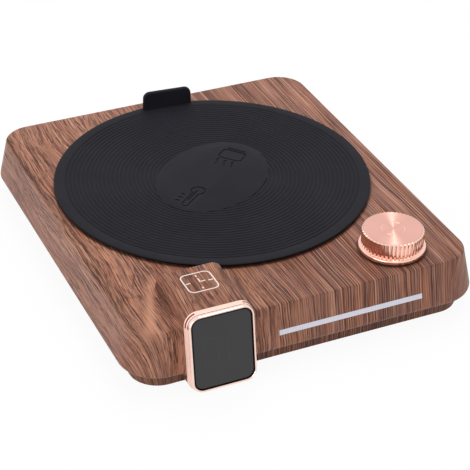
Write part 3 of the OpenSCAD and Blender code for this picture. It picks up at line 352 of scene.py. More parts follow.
def grain(wire, film, colours, sizes):
    """The wood print's colour with painted light and shade, and how dark its lines and that shade are, from
    the film's coordinates in millimetres.
    """
    across, along, height = film.axes()
    left = 1.0 - across.between(-40.0, 15.0)

    def streaks(place, wide, long, seed, detail=2.0, roughness=0.6):
        """Noise that is drawn out along the grain, by its usual width and length."""
        return wire.noise(wire.vector(place / wide, along / long, seed), 1.0, detail, roughness)

    drift = streaks(across, 40.0, 110.0, 0.0, roughness=0.5) - 0.5
    wander = streaks(across, 6.0, 22.0, 4.0, roughness=0.5) - 0.5
    line = across + drift * (left * 11.0 + 5.0) + wander * (left * 1.3 + 0.7)
    bands = streaks(line, 5.0, 200.0, 1.7, 3.0, 0.55)
    greys = streaks(line, 2.2, 80.0, 9.1, 3.0)
    gleams = streaks(line, 0.5, 60.0, 8.8)
    rings = wire.math("SINE", (line + (bands - 0.5) * 1.6) * 5.4)
    patch = streaks(line, 9.0, 45.0, 3.1, roughness=0.5)

    # The film is stretched pale along a slanting fold at the pod's left side, and painted shade darkens the
    # hollow corner beyond it.
    fold_x, fold_y, fold_slope = 61.9, 57.6, 0.4
    fold = across + fold_x - (along + fold_y) * fold_slope
    reach = along.between(-97.0, -84.0) * (1.0 - along.between(-58.0, -46.0))
    stretched = (1.0 - wire.math("ABSOLUTE", fold + wander * 2.0).between(0.4, 4.4)) * reach
    hollow = (fold.between(4.0, 9.0) - fold.between(11.0, 17.0)) * along.between(-86.0, -76.0)
    hollow = hollow * (1.0 - along.between(-68.0, -58.0))

    # Painted light and sheen make the left wall paler and mauve. The top is darker along that edge.
    edge = -MM * sizes.case_w / 2
    wall = 1.0 - (across + wander * 1.2).between(edge - 1.5, edge + 0.3)
    wall = wall * along.between(-92.0, -66.0)
    crease = (across + wander * 1.6).between(edge - 0.6, edge + 0.6)
    crease = crease - (across + wander * 3.0).between(edge + 0.9, edge + 3.4)

    tone = colours.wood_mid
    for share, tint in (
        (bands.between(0.4, 0.66) * (0.4 + left * 0.2), colours.wood_light),
        (greys.between(0.4, 0.62) * (0.85 - left * 0.35), colours.wood_grey),
        (gleams.between(0.5, 0.62) * (0.62 - left * 0.2), colours.wood_gleam),
        (stretched * 0.45, colours.wood_light),
        (wall * 0.2, colours.wood_painted_light),
    ):
        tone = share.blend(tone, tint)

    # Rings on the right, then threads, hairs and short pores.
    shade = rings.between(0.0, 0.9) * (1.0 - left) * 0.5
    for lines, low, high, depth in (
        (streaks(line, 0.52, 70.0, 5.3), 0.48, 0.58, 0.68 - left * 0.06),
        (streaks(line, 0.3, 26.0, 2.9), 0.5, 0.62, 0.46),
        (streaks(line, 0.4, 8.0, 7.7), 0.51, 0.6, left * 0.6 + 0.15),
    ):
        shade = shade + lines.between(low, high) * depth
    shade = shade * (0.62 + patch.between(0.32, 0.66) * 0.4)
    shade = shade + wire.math("MAXIMUM", crease, 0.0) * 0.4
    top = MM * sizes.case_top
    level = height.between(top - 1.0, top - 0.2)
    shade = shade * (0.82 + level * 0.18) + (1.0 - level) * 0.08
    # Painted shade: the top and the pod's roof are darker towards the front.
    shade = shade + (1.0 - along.between(-70.0, -40.0)) * level * 0.13
    # Painted shade in the hollow beside the pod.
    shade = shade * (1.0 - stretched * 0.7) + hollow * 0.2
    # Painted shade: the rounded lower rim, which faces the floor, is darker.
    rim = 1.0 - height.between(MM * sizes.case_rim, MM * (sizes.case_rim + sizes.under_edge_r))
    # Painted contact shadow on the top, round the knob's skirt and the mat's edge.
    gap = painted_contact_shadow(across, along, (sizes.knob_x, sizes.knob_y, sizes.skirt_r), 1.6)
    gap = gap + painted_contact_shadow(across, along, (sizes.plate_x, sizes.plate_y, sizes.mat_r), 1.1)
    shade = wire.math("MINIMUM", shade + rim * 0.24 + gap * level * 0.55, 0.95)
    return shade.blend(tone, colours.wood_dark), shade


def wood_print(colours, sizes):
    """Printed wood: broad bands, fine dark threads, short pores and grey drifts under a satin lacquer, and
    the painted light and shade that grain() adds.
    """
    material, wire = start_finish("wood_print")
    film = wire.node("ShaderNodeAttribute", None, "Vector", attribute_name="film").millimetres()
    tone, shade = grain(wire, film, colours, sizes)
    bump = (1.0 - shade, 0.00004, 0.5)
    return end_finish(material, tone, 0.42 + shade * 0.12, bump, {"Specular IOR Level": 0.2})


def wood_moulding(colours, sizes):
    """The plinth: the wood's print runs on down its walls, and its floor is a plain brown moulding."""
    material, wire = start_finish("wood_moulding")
    x, y, z = wire.place().axes()
    facing_x, facing_y, facing_z = wire.node("ShaderNodeTexCoord", None, "Normal").axes()
    drop = MM * sizes.case_top - z
    film = wire.vector(x + facing_x * drop, y + facing_y * drop, z)
    # The plinth's walls take the painted shade of the case's lower rim from grain().
    tone, _ = grain(wire, film, colours, sizes)
    spark = wire.noise(wire.place(), 1.6, 2.0, 0.6)
    level = wire.math("ABSOLUTE", facing_z).between(0.4, 0.7)
    tone = level.blend(tone, (spark * 0.3).blend(colours.plinth, colours.wood_dark))
    return end_finish(material, tone, 0.44 + spark * 0.12, (spark, 0.00004, 0.4), {"Specular IOR Level": 0.2})


def silicone(name, tint):
    """Matt silicone with a faint bloom."""
    material, wire = start_finish(name)
    place = wire.place()
    bloom = wire.noise(place, 0.045, 3.0, 0.6)
    dust = wire.noise(place, 2.4, 2.0, 0.5)
    tone = (bloom.between(0.35, 0.7) * 0.7).blend(tint, toned(tint, 1.35))
    return end_finish(material, tone, 0.56 + dust * 0.12, (dust, 0.00003, 0.6), {"Specular IOR Level": 0.16})


def polished(name, tint, metallic=1.0, roughness=0.1):
    """Polished plating with the faint unevenness of a plated moulding."""
    material, wire = start_finish(name)
    cloud = wire.noise(wire.place(), 0.35, 2.0, 0.5)
    tone = cloud.blend(toned(tint, 0.94), tint)
    return end_finish(material, tone, roughness + cloud * 0.06, None, {"Metallic": metallic})


def spun_gold(colours, sizes):
    """Rose gold turned on a lathe: fine rings round the knob's axis, and gloss spread along the radius."""
    material, wire = start_finish("spun_gold")
    reach = wire.reach(sizes.knob_x, sizes.knob_y)
    rings = wire.noise(wire.vector(reach * 9.0, 0.0, 0.0), 1.0, 3.0, 0.7)
    broad = wire.noise(wire.vector(reach * 1.6, 3.0, 0.0), 1.0, 2.0, 0.6)
    tone = (broad * 0.5 + rings * 0.5).blend(toned(colours.turned_gold, 0.88), colours.turned_gold)
    constants = {"Metallic": 1.0, "Anisotropic": 0.95, "Anisotropic Rotation": 0.25}
    return end_finish(material, tone, 0.29 + broad * 0.05, (rings, 0.00002, 0.3), constants)


def smoked_glass(name, tint, gloss=0.5):
    """Dark glass over an unlit panel."""
    material, wire = start_finish(name)
    haze = wire.noise(wire.place(), 0.09, 2.0, 0.5)
    tone = haze.blend(tint, toned(tint, 1.25))
    return end_finish(material, tone, 0.06 + haze * 0.05, None, {"IOR": 1.5, "Specular IOR Level": gloss})


def milky(name, tint):
    """Satin translucent plastic."""
    material, wire = start_finish(name)
    cloud = wire.noise(wire.place(), 0.25, 2.0, 0.5)
    tone = cloud.blend(toned(tint, 0.94), tint)
    constants = {"Subsurface Weight": 0.15, "Subsurface Radius": (0.001, 0.001, 0.001)}
    return end_finish(material, tone, 0.34 + cloud * 0.12, None, constants)


def moulded(name, tint, roughness=0.5, fineness=1.6):
    """Moulded plastic with a fine spark-eroded texture."""
    material, wire = start_finish(name)
    place = wire.place()
    spark = wire.noise(place, fineness, 3.0, 0.65)
    patch = wire.noise(place, 0.06, 2.0, 0.5)
    tone = (patch * 0.6 + spark * 0.4).blend(toned(tint, 0.85), tint)
    return end_finish(material, tone, roughness - 0.06 + spark * 0.12, (spark, 0.00005, 0.5))


def metal(name, tint, roughness):
    """Bare or plated metal with fine drawn marks."""
    material, wire = start_finish(name)
    stretch = (1.0, 1.0, 14.0)
    marks = wire.node("ShaderNodeVectorMath", {0: wire.place(), 1: stretch}, operation="MULTIPLY")
    scratch = wire.noise(marks, 0.8, 3.0, 0.6)
    tone = scratch.blend(toned(tint, 0.82), tint)
    return end_finish(material, tone, roughness - 0.05 + scratch * 0.12, None, {"Metallic": 1.0})


def turned_plate(name, tint, sizes):
    """Aluminium faced on a lathe: rings round the plate's middle."""
    material, wire = start_finish(name)
    reach = wire.reach(sizes.plate_x, sizes.plate_y)
    rings = wire.noise(wire.vector(reach * 2.2, 0.0, 0.0), 1.0, 3.0, 0.7)
    bands = wire.noise(wire.vector(reach * 0.12, 5.0, 0.0), 1.0, 2.0, 0.5)
    tone = (rings * 0.5 + bands * 0.5).blend(toned(tint, 0.8), tint)
    return end_finish(material, tone, 0.28 + rings * 0.14, (rings, 0.00004, 0.6), {"Metallic": 1.0})


def circuit_board(name, tint):
    """Solder mask with traces that show through as paler lines."""
    material, wire = start_finish(name)
    place = wire.place()
    brick = {"Vector": place, "Scale": 0.22, "Mortar Size": 0.035, "Mortar Smooth": 0.2}
    traces = wire.node("ShaderNodeTexBrick", brick, "Fac", offset=0.37, squash=1.4)
    speckle = wire.noise(place, 1.2, 2.0, 0.5)
    tone = (traces * 0.7).blend(tint, toned(tint, 1.6, 0.01))
    return end_finish(material, tone, 0.3 + speckle * 0.14, (traces, 0.00003, 0.5))


def felt(name, tint):
    """Pressed fibre."""
    material, wire = start_finish(name)
    fibres = wire.noise(wire.place(), 1.1, 5.0, 0.75)
    tone = fibres.between(0.3, 0.7).blend(toned(tint, 0.72), tint)
    return end_finish(material, tone, 0.85 + fibres * 0.1, (fibres, 0.0003, 0.7))


def flat_cable(name, tint):
    """Ribbon cable: parallel conductors under a clear skin, a millimetre apart."""
    material, wire = start_finish(name)
    x, _, _ = wire.place().axes()
    strands = wire.math("SINE", x * 6.283).between(-0.2, 0.7)
    tone = strands.blend(toned(tint, 0.62), tint)
    return end_finish(material, tone, 0.34 + strands * 0.1, (strands, 0.0001, 0.6))


def foil(name, tint):
    """Heater foil: a folded track under amber film."""
    material, wire = start_finish(name)
    x, y, _ = wire.place().axes()
    track = wire.math("SINE", x * 1.4 + wire.math("SINE", y * 0.05) * 2.0).between(-0.1, 0.1)
    tone = track.blend(toned(tint, 0.45), tint)
    return end_finish(material, tone, 0.25 + track * 0.1, (track, 0.00005, 0.6))


def shape_object(name, bm, matrix=None):
    """An object from a bmesh, moved by a matrix, closed and with its faces outwards."""
    if matrix:
        bmesh.ops.transform(bm, matrix=matrix, verts=bm.verts)
    bmesh.ops.recalc_face_normals(bm, faces=bm.faces)
    mesh = bpy.data.meshes.new(name)
    bm.to_mesh(mesh)
    bm.free()
    made = bpy.data.objects.new(name, mesh)
    bpy.context.scene.collection.objects.link(made)
    return made


def carve(piece, tools, operation="DIFFERENCE"):
    """Adds or cuts away solid tools, which are used up, and turns the result into the piece's mesh."""
    for tool in tools:
        step = piece.modifiers.new(tool.name, "BOOLEAN")
        step.operation = operation
        step.solver = "MANIFOLD"
        step.object = tool
    graph = bpy.context.evaluated_depsgraph_get()
    spare = [piece.data] + [tool.data for tool in tools]
    piece.data = bpy.data.meshes.new_from_object(piece.evaluated_get(graph))
    piece.modifiers.clear()
    for tool in tools:
        bpy.data.objects.remove(tool)
    for mesh in spare:
        bpy.data.meshes.remove(mesh)
    piece.data.name = piece.name
    if not piece.data.polygons:
        raise RuntimeError(f"nothing is left of {piece.name} after its cuts")


def engrave(piece, strokes, place):
    """Cuts strokes into a piece."""
    lift = Matrix.Translation(place)
    carve(piece, [shape_object(f"mark_{number}", mark, lift) for number, mark in enumerate(strokes)])


def finish_piece(piece, body, materials, nodes=(), crease=35.0, trim=None):
    """Smooth shading with creases, materials and body. Trim tells which material a face takes."""
    bm = bmesh.new()
    bm.from_mesh(piece.data)
    limit = math.radians(crease)
    for face in bm.faces:
        face.smooth = True
    for edge in bm.edges:
        edge.smooth = edge.calc_face_angle(0.0) < limit
    bm.to_mesh(piece.data)
    bm.free()
    piece.data.materials.clear()
    for material in materials:
        piece.data.materials.append(material)
    if trim:
        for face in piece.data.polygons:
            face.material_index = int(trim(face.center))
    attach(piece, body)
    if nodes:
        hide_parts(*nodes)


def only(items, kind):
    """The points, edges or faces among an operator's results."""
    return [item for item in items if isinstance(item, kind)]


def once(items):
    """Each item once, in order, so that every run gives the same mesh."""
    return list(dict.fromkeys(items))


def sweep(steps, start=0.0, end=90.0):
    """Angles in even steps between two angles in degrees."""
    return [math.radians(start + (end - start) * step / steps) for step in range(steps + 1)]


def bend(turns, height, out, rise, spread):
    """Points of a rounded edge, as height and distance outwards, about its middle."""
    return [(height + rise * math.sin(turn), out + spread * math.cos(turn)) for turn in turns]


def turned_bend(turns, radius, height, edge):
    """Points of a turned piece's rounded edge, as radius and height, inside its corner."""
    return [(out, level) for level, out in bend(turns, height - edge, radius - edge, edge, edge)]


def drums(*steps):
    """Profile of round steps on one axis, each given by its radius and its two ends."""
    sides = [(radius, end) for radius, *ends in steps for end in ends]
    return [(0.0, sides[0][1]), *sides, (0.0, sides[-1][1])]


def outward(x, y, reach_x, reach_y):
    """Direction straight away from a rounded outline's core rectangle, or nothing inside it."""
    away = Vector((
        math.copysign(max(abs(x) - reach_x, 0.0), x),
        math.copysign(max(abs(y) - reach_y, 0.0), y),
        0.0,
    ))
    return away.normalized() if away.length > TINY else ORIGIN


def round_off(bm, geom, offset, segments, affect="EDGES", clamp=False):
    """Rounds edges, or the corner points of a sheet."""
    bmesh.ops.bevel(
        bm, geom=geom, affect=affect, offset=offset, segments=segments, profile=0.5, material=-1,
        clamp_overlap=clamp,
    )


def sheet(width, depth, place):
    """One level rectangle about a place."""
    bm = bmesh.new()
    bmesh.ops.create_grid(bm, x_segments=1, y_segments=1, size=0.5)
    bmesh.ops.scale(bm, vec=(width, depth, 1.0), verts=bm.verts)
    bmesh.ops.translate(bm, vec=place, verts=bm.verts)
    return bm


def thicken(bm, height, keep=False):
    """Raises all faces of a sheet into a solid."""
    grown = bmesh.ops.extrude_face_region(bm, geom=bm.faces[:], use_keep_orig=keep)["geom"]
    bmesh.ops.translate(bm, vec=(0.0, 0.0, height), verts=only(grown, BMVert))
    bmesh.ops.recalc_face_normals(bm, faces=bm.faces)


def rounded_block(width, depth, corner_r, middle, profile, steps, hollow=False):
    """A block on a rounded outline. The profile gives height and distance outside that outline, in order.
    A hollow block's last outline is joined back to its first one."""
    reach_x = width / 2 - corner_r
    reach_y = depth / 2 - corner_r

    def spread(verts, distance):
        """Moves points of the outline outwards."""
        for vert in verts:
            away = outward(vert.co.x - middle.x, vert.co.y - middle.y, reach_x, reach_y)
            vert.co += away * distance

    bm = sheet(width, depth, (middle.x, middle.y, profile[0][0]))
    round_off(bm, bm.verts[:], corner_r, steps, "VERTICES")
    first = face = bm.faces[:][0]
    spread(face.verts, profile[0][1])
    for (low, inner), (high, outer) in zip(profile, profile[1:]):
        grown = bmesh.ops.extrude_face_region(bm, geom=[face])["geom"]
        if face is not first:
            bmesh.ops.delete(bm, geom=[face], context="FACES_ONLY")
        face = only(grown, BMFace)[0]
        bmesh.ops.translate(bm, vec=(0.0, 0.0, high - low), verts=face.verts)
        spread(face.verts, outer - inner)
    if hollow:
        rims = list(first.edges) + list(face.edges)
        bmesh.ops.delete(bm, geom=[first, face], context="FACES_ONLY")
        bmesh.ops.bridge_loops(bm, edges=rims)
    return bm


def lathe(profile, steps):
    """A turned solid about the Z axis from points of radius and height."""
    bm = bmesh.new()
    verts = [bm.verts.new((radius, 0.0, height)) for radius, height in profile]
    edges = [bm.edges.new(pair) for pair in zip(verts, verts[1:])]
    bmesh.ops.spin(
        bm, geom=verts + edges, cent=ORIGIN, axis=AXES[2], dvec=ORIGIN, angle=math.tau, steps=steps,
        use_merge=True,
    )
    bmesh.ops.remove_doubles(bm, verts=bm.verts, dist=WELD)
    return bm


def placed(place, turn=0.0, axis="Z"):
    """A place, with a turn about one axis there."""
    return Matrix.Translation(place) @ Matrix.Rotation(turn, 4, axis)


def box_tool(name, size, matrix):
    """A plain box used as a cutter."""
    bm = bmesh.new()
    bmesh.ops.create_cube(bm, size=1.0)
    bmesh.ops.scale(bm, vec=size, verts=bm.verts)
    return shape_object(name, bm, matrix)


def leaning(lean, x, y, z):
    """Across, along and out from a plane that faces the front and leans back."""
    sine = math.sin(lean)
    cosine = math.cos(lean)
    return Matrix(((1.0, 0.0, 0.0, x), (0.0, sine, -cosine, y), (0.0, cosine, sine, z), (0.0, 0.0, 0.0, 1.0)))


def display_matrix(sizes):
    """Across, along and out from the display's back plane."""
    return leaning(sizes.display_tilt, sizes.display_x, sizes.display_y, sizes.display_z)


def wall_out(sizes, height):
    """How far a wall stands outside the top face's outline."""
    shoulder = sizes.case_top - sizes.top_edge_r
    waist = sizes.case_rim + sizes.under_edge_r
    return sizes.case_flare * (shoulder - height) / (shoulder - waist)


def pod_hull(name, sizes, inset):
    """The display pod, from the display's outline back to its rear end, less an inset all round."""
    steps = 8
    sunk = 0.006
    width = sizes.display_w - 2 * inset
    tall = sizes.display_h - 2 * inset
    nose = [(-sizes.pod_depth, 0.0), (-inset, 0.0)]
    front = rounded_block(width, tall, sizes.display_corner_r - inset, ORIGIN, nose, steps)
    bmesh.ops.transform(front, matrix=display_matrix(sizes), verts=front.verts)
    low = sizes.case_top - sunk
    rise = sizes.case_top + sizes.pod_rise - inset - low
    edge = sizes.pod_rear_r
    tail = bend(sweep(4), -edge, -edge, edge, edge)
    rear = rounded_block(width, 2 * rise, sizes.pod_roof_r - inset, ORIGIN, tail, steps)
    bm = bmesh.new()
    for vert in front.verts:
        bm.verts.new(vert.co)
    for vert in rear.verts:
        across, up, along = vert.co
        bm.verts.new((sizes.display_x + across, sizes.pod_rear - inset + along, low + max(up, 0.0)))
    front.free()
    rear.free()
    hull = bmesh.ops.convex_hull(bm, input=bm.verts[:])
    spare = once(only(hull["geom_interior"] + hull["geom_unused"], BMVert))
    bmesh.ops.delete(bm, geom=spare, context="VERTS")
    cut = bmesh.ops.bisect_plane(
        bm, geom=bm.verts[:] + bm.edges[:] + bm.faces[:], plane_co=(0.0, 0.0, sizes.pod_low),
        plane_no=AXES[2], clear_inner=True,
    )
    rim = only(cut["geom_cut"], BMEdge)
    if rim:
        bmesh.ops.edgeloop_fill(bm, edges=rim)
    bmesh.ops.dissolve_limit(bm, angle_limit=math.radians(0.5), verts=bm.verts[:], edges=bm.edges[:])
    return shape_object(name, bm)


def slice_faces(bm, faces, place, normal):
    """Cuts some faces along a plane and gives all their parts back."""
    picked = once(item for face in faces for item in (face, *face.edges, *face.verts))
    cut = bmesh.ops.bisect_plane(bm, geom=picked, dist=WELD, plane_co=place, plane_no=normal)
    return only(cut["geom"], BMFace)


def inside(place, low, high):
    """True in a box between two corners."""
    return all(low[axis] < place[axis] < high[axis] for axis in range(3))


def refine(bm, low, high, step):
    """Cuts the faces inside a box into a fine grid."""
    for normal in AXES:
        slice_faces(bm, bm.faces[:], low, normal)
        slice_faces(bm, bm.faces[:], high, normal)
    faces = [face for face in bm.faces if inside(face.calc_center_bounds(), low, high)]
    for axis, normal in enumerate(AXES):
        for number in range(1, int((high[axis] - low[axis]) / step) + 1):
            faces = slice_faces(bm, faces, low + normal * (step * number), normal)


def blend_pod(mesh, sizes):
    """Rounds the hollow corners round the pod, further out near its front. Points only move outwards."""
    left_reach = 0.009
    right_reach = 0.004
    front_reach = 0.006
    left_room = 0.016
    right_room = 0.014
    rear_room = 0.009
    above_rim = 0.0006
    before_all = -0.104
    over_all = 0.045
    steepness = 2.5
    rounds = 130
    half = sizes.display_w / 2
    front = sizes.case_y - sizes.case_d / 2
    low = Vector((sizes.display_x - half - left_room, before_all, sizes.case_rim + above_rim))
    high = Vector((sizes.display_x + half + right_room, sizes.pod_rear + rear_room, over_all))
    bm = bmesh.new()
    bm.from_mesh(mesh)
    refine(bm, low, high, sizes.skin)

    def weight(place):
        """1 beside the pod, falling to 0 at the reach of its hollow corner."""
        share = min(max((sizes.pod_rear - place.y) / (sizes.pod_rear - front), 0.0), 1.0)
        reach = (left_reach if place.x < sizes.display_x else right_reach) + front_reach * share
        side = max(abs(place.x - sizes.display_x) - half, 0.0)
        back = max(place.y - sizes.pod_rear, 0.0)
        return max(1.0 - math.hypot(side, 2.0 * back) / reach, 0.0)

    picked = [vert for vert in bm.verts if inside(vert.co, low, high) and weight(vert.co) > 0.0]
    weights = [min(steepness * weight(vert.co), 1.0) for vert in picked]
    for _ in range(rounds):
        bm.normal_update()
        before = [(vert.co.copy(), vert.normal.copy()) for vert in picked]
        bmesh.ops.smooth_vert(bm, verts=picked, factor=0.5, use_axis_x=True, use_axis_y=True, use_axis_z=True)
        for vert, (old, normal), share in zip(picked, before, weights):
            rise = (vert.co - old).dot(normal)
            vert.co = old + normal * (max(rise, 0.0) * share)
    bm.to_mesh(mesh)
    bm.free()


def lay_film(mesh, sizes):
    """The printed film's own coordinates and the height. It lies on the top and is folded over the edges."""
    film = mesh.attributes.new("film", "FLOAT_VECTOR", "POINT")
    reach_x = sizes.case_w / 2 - sizes.case_corner_r
    reach_y = sizes.case_d / 2 - sizes.case_corner_r
    for vert, item in zip(mesh.vertices, film.data):
        x, y, z = vert.co
        away = outward(x, y - sizes.case_y, reach_x, reach_y)
        drop = max(sizes.case_top - z, 0.0)
        rise = max(z - sizes.case_top, 0.0)
        item.vector = (x + away.x * drop + rise, y + away.y * drop, z)


def wall_of_edges(bm, edges, height, width):
    """Stands a thin wall on the given edges."""
    risen = only(bmesh.ops.extrude_edge_only(bm, edges=edges)["geom"], BMVert)
    bmesh.ops.translate(bm, vec=(0.0, 0.0, height), verts=risen)
    faces = once(face for item in risen for face in item.link_faces)
    bmesh.ops.recalc_face_normals(bm, faces=faces)
    bmesh.ops.solidify(bm, geom=faces, thickness=width)
    return bm


def stroke(places, height, width):
    """A thin wall along a line of points."""
    bm = bmesh.new()
    verts = [bm.verts.new((x, y, 0.0)) for x, y in places]
    edges = [bm.edges.new(pair) for pair in zip(verts, verts[1:])]
    return wall_of_edges(bm, edges, height, width)


def frame_stroke(width, depth, corner_r, height, line):
    """A thin wall along a rounded outline."""
    bm = sheet(width, depth, ORIGIN)
    round_off(bm, bm.verts[:], corner_r, 6, "VERTICES")
    bmesh.ops.delete(bm, geom=bm.faces[:], context="FACES_ONLY")
    return wall_of_edges(bm, bm.edges[:], height, line)


def arc_points(radius, start, end, steps=24):
    """Points of an arc round the origin, between two angles in degrees."""
    return [(radius * math.cos(turn), radius * math.sin(turn)) for turn in sweep(steps, start, end)]


def wave_points(x, y, span, swing, steps=12):
    """Points of an upright wave."""
    shares = [step / steps for step in range(steps + 1)]
    return [(x + swing * math.sin(math.tau * share), y + span * (share - 0.5)) for share in shares]


class WARMER_OT_case(bpy.types.Operator):
    """Build the wood-print case with its display pod"""

    bl_idname = "warmer.case"
    bl_label = "Case"

    def execute(self, context):
        sizes = context.scene.warmer_sizes
        outline = (sizes.case_w, sizes.case_d, sizes.case_corner_r, Vector((0.0, sizes.case_y, 0.0)))
        under = sizes.under_edge_r
        edge = sizes.top_edge_r
        profile = bend(sweep(6, -90.0, 0.0), sizes.case_rim + under, sizes.case_flare - under, under, under)
        profile += bend(sweep(6), sizes.case_top - edge, -edge, edge, edge)
        case = shape_object("case", rounded_block(*outline, profile, 16))
        carve(case, [pod_hull("pod", sizes, 0.0)], "UNION")
        blend_pod(case.data, sizes)
        carve(case, [self.cavity(sizes, outline), *self.holes(sizes)])
        lay_film(case.data, sizes)
        wood = wood_print(context.scene.warmer_colours, sizes)
        finish_piece(case, "base", [wood], ["upper_shell"], 40.0)
        return {"FINISHED"}

    def cavity(self, sizes, outline):
        """The room inside the walls, less the ring that carries the heating plate."""
        wall = sizes.shell_wall
        ceiling = sizes.case_top - wall
        flare = sizes.case_flare - wall
        below = 0.001
        profile = [
            (sizes.case_rim - below, flare),
            (sizes.case_rim + sizes.under_edge_r, flare),
            (ceiling, wall_out(sizes, ceiling) - wall),
        ]
        cavity = shape_object("cavity", rounded_block(*outline, profile, 16))
        ring_wall = 0.0037
        ring_t = 0.003
        ring_low = self.ledge(sizes) - ring_t
        ring_high = 0.03
        ring = lathe(drums((sizes.plate_r + ring_wall, ring_low, ring_high)), 96)
        carve(cavity, [shape_object("seat_ring", ring, self.plate(sizes))])
        return cavity

    def ledge(self, sizes):
        """Height of the ledge under the heating plate."""
        plate_t = 0.0022
        return sizes.case_top - plate_t

    def plate(self, sizes):
        """Place of the heating plate."""
        return Matrix.Translation((sizes.plate_x, sizes.plate_y, 0.0))

    def holes(self, sizes):
        """Cutters for the plate, the knob's shaft, the inlet, the display, the light bar and the plinth."""
        low = 0.02
        plate_gap = 0.0003
        ledge_w = 0.007
        recess_top = 0.031
        ledge = self.ledge(sizes)
        recess = drums((sizes.plate_r - ledge_w, low, ledge), (sizes.plate_r + plate_gap, ledge, recess_top))
        shaft_r = 0.0036
        shaft_top = 0.04
        shaft = drums((shaft_r, low, shaft_top))
        jack_r = 0.0041
        nut_r = 0.0067
        nut_seat = -0.0005
        inner_end = -0.01
        outer_end = 0.008
        inlet = drums((jack_r, inner_end, nut_seat), (nut_r, nut_seat, outer_end))
        rear = sizes.case_y + sizes.case_d / 2
        backwards = placed((sizes.inlet_x, rear, sizes.inlet_z), -QUARTER, "X")
        knob = Matrix.Translation((sizes.knob_x, sizes.knob_y, 0.0))
        plinth_inset = 0.0015
        room = (sizes.display_w + 0.002, 0.03, 0.01)
        plinth_front = sizes.case_y - sizes.case_d / 2 + plinth_inset
        plinth = Matrix.Translation((sizes.display_x, plinth_front + room[1] / 2, room[2] / 2))
        bar = leaning(sizes.wall_lean, sizes.bar_x, sizes.bar_y, sizes.bar_z)
        slot_d = 0.012
        window = (0.02, 0.024, 0.008)
        return [
            shape_object("recess", lathe(recess, 160), self.plate(sizes)),
            shape_object("shaft_hole", lathe(shaft, 40), knob),
            shape_object("inlet_hole", lathe(inlet, 48), backwards),
            pod_hull("pod_hollow", sizes, sizes.shell_wall),
            box_tool("window", window, display_matrix(sizes)),
            box_tool("bar_slot", (sizes.bar_l, sizes.bar_h, slot_d), bar),
            box_tool("cover_room", room, plinth),
        ]


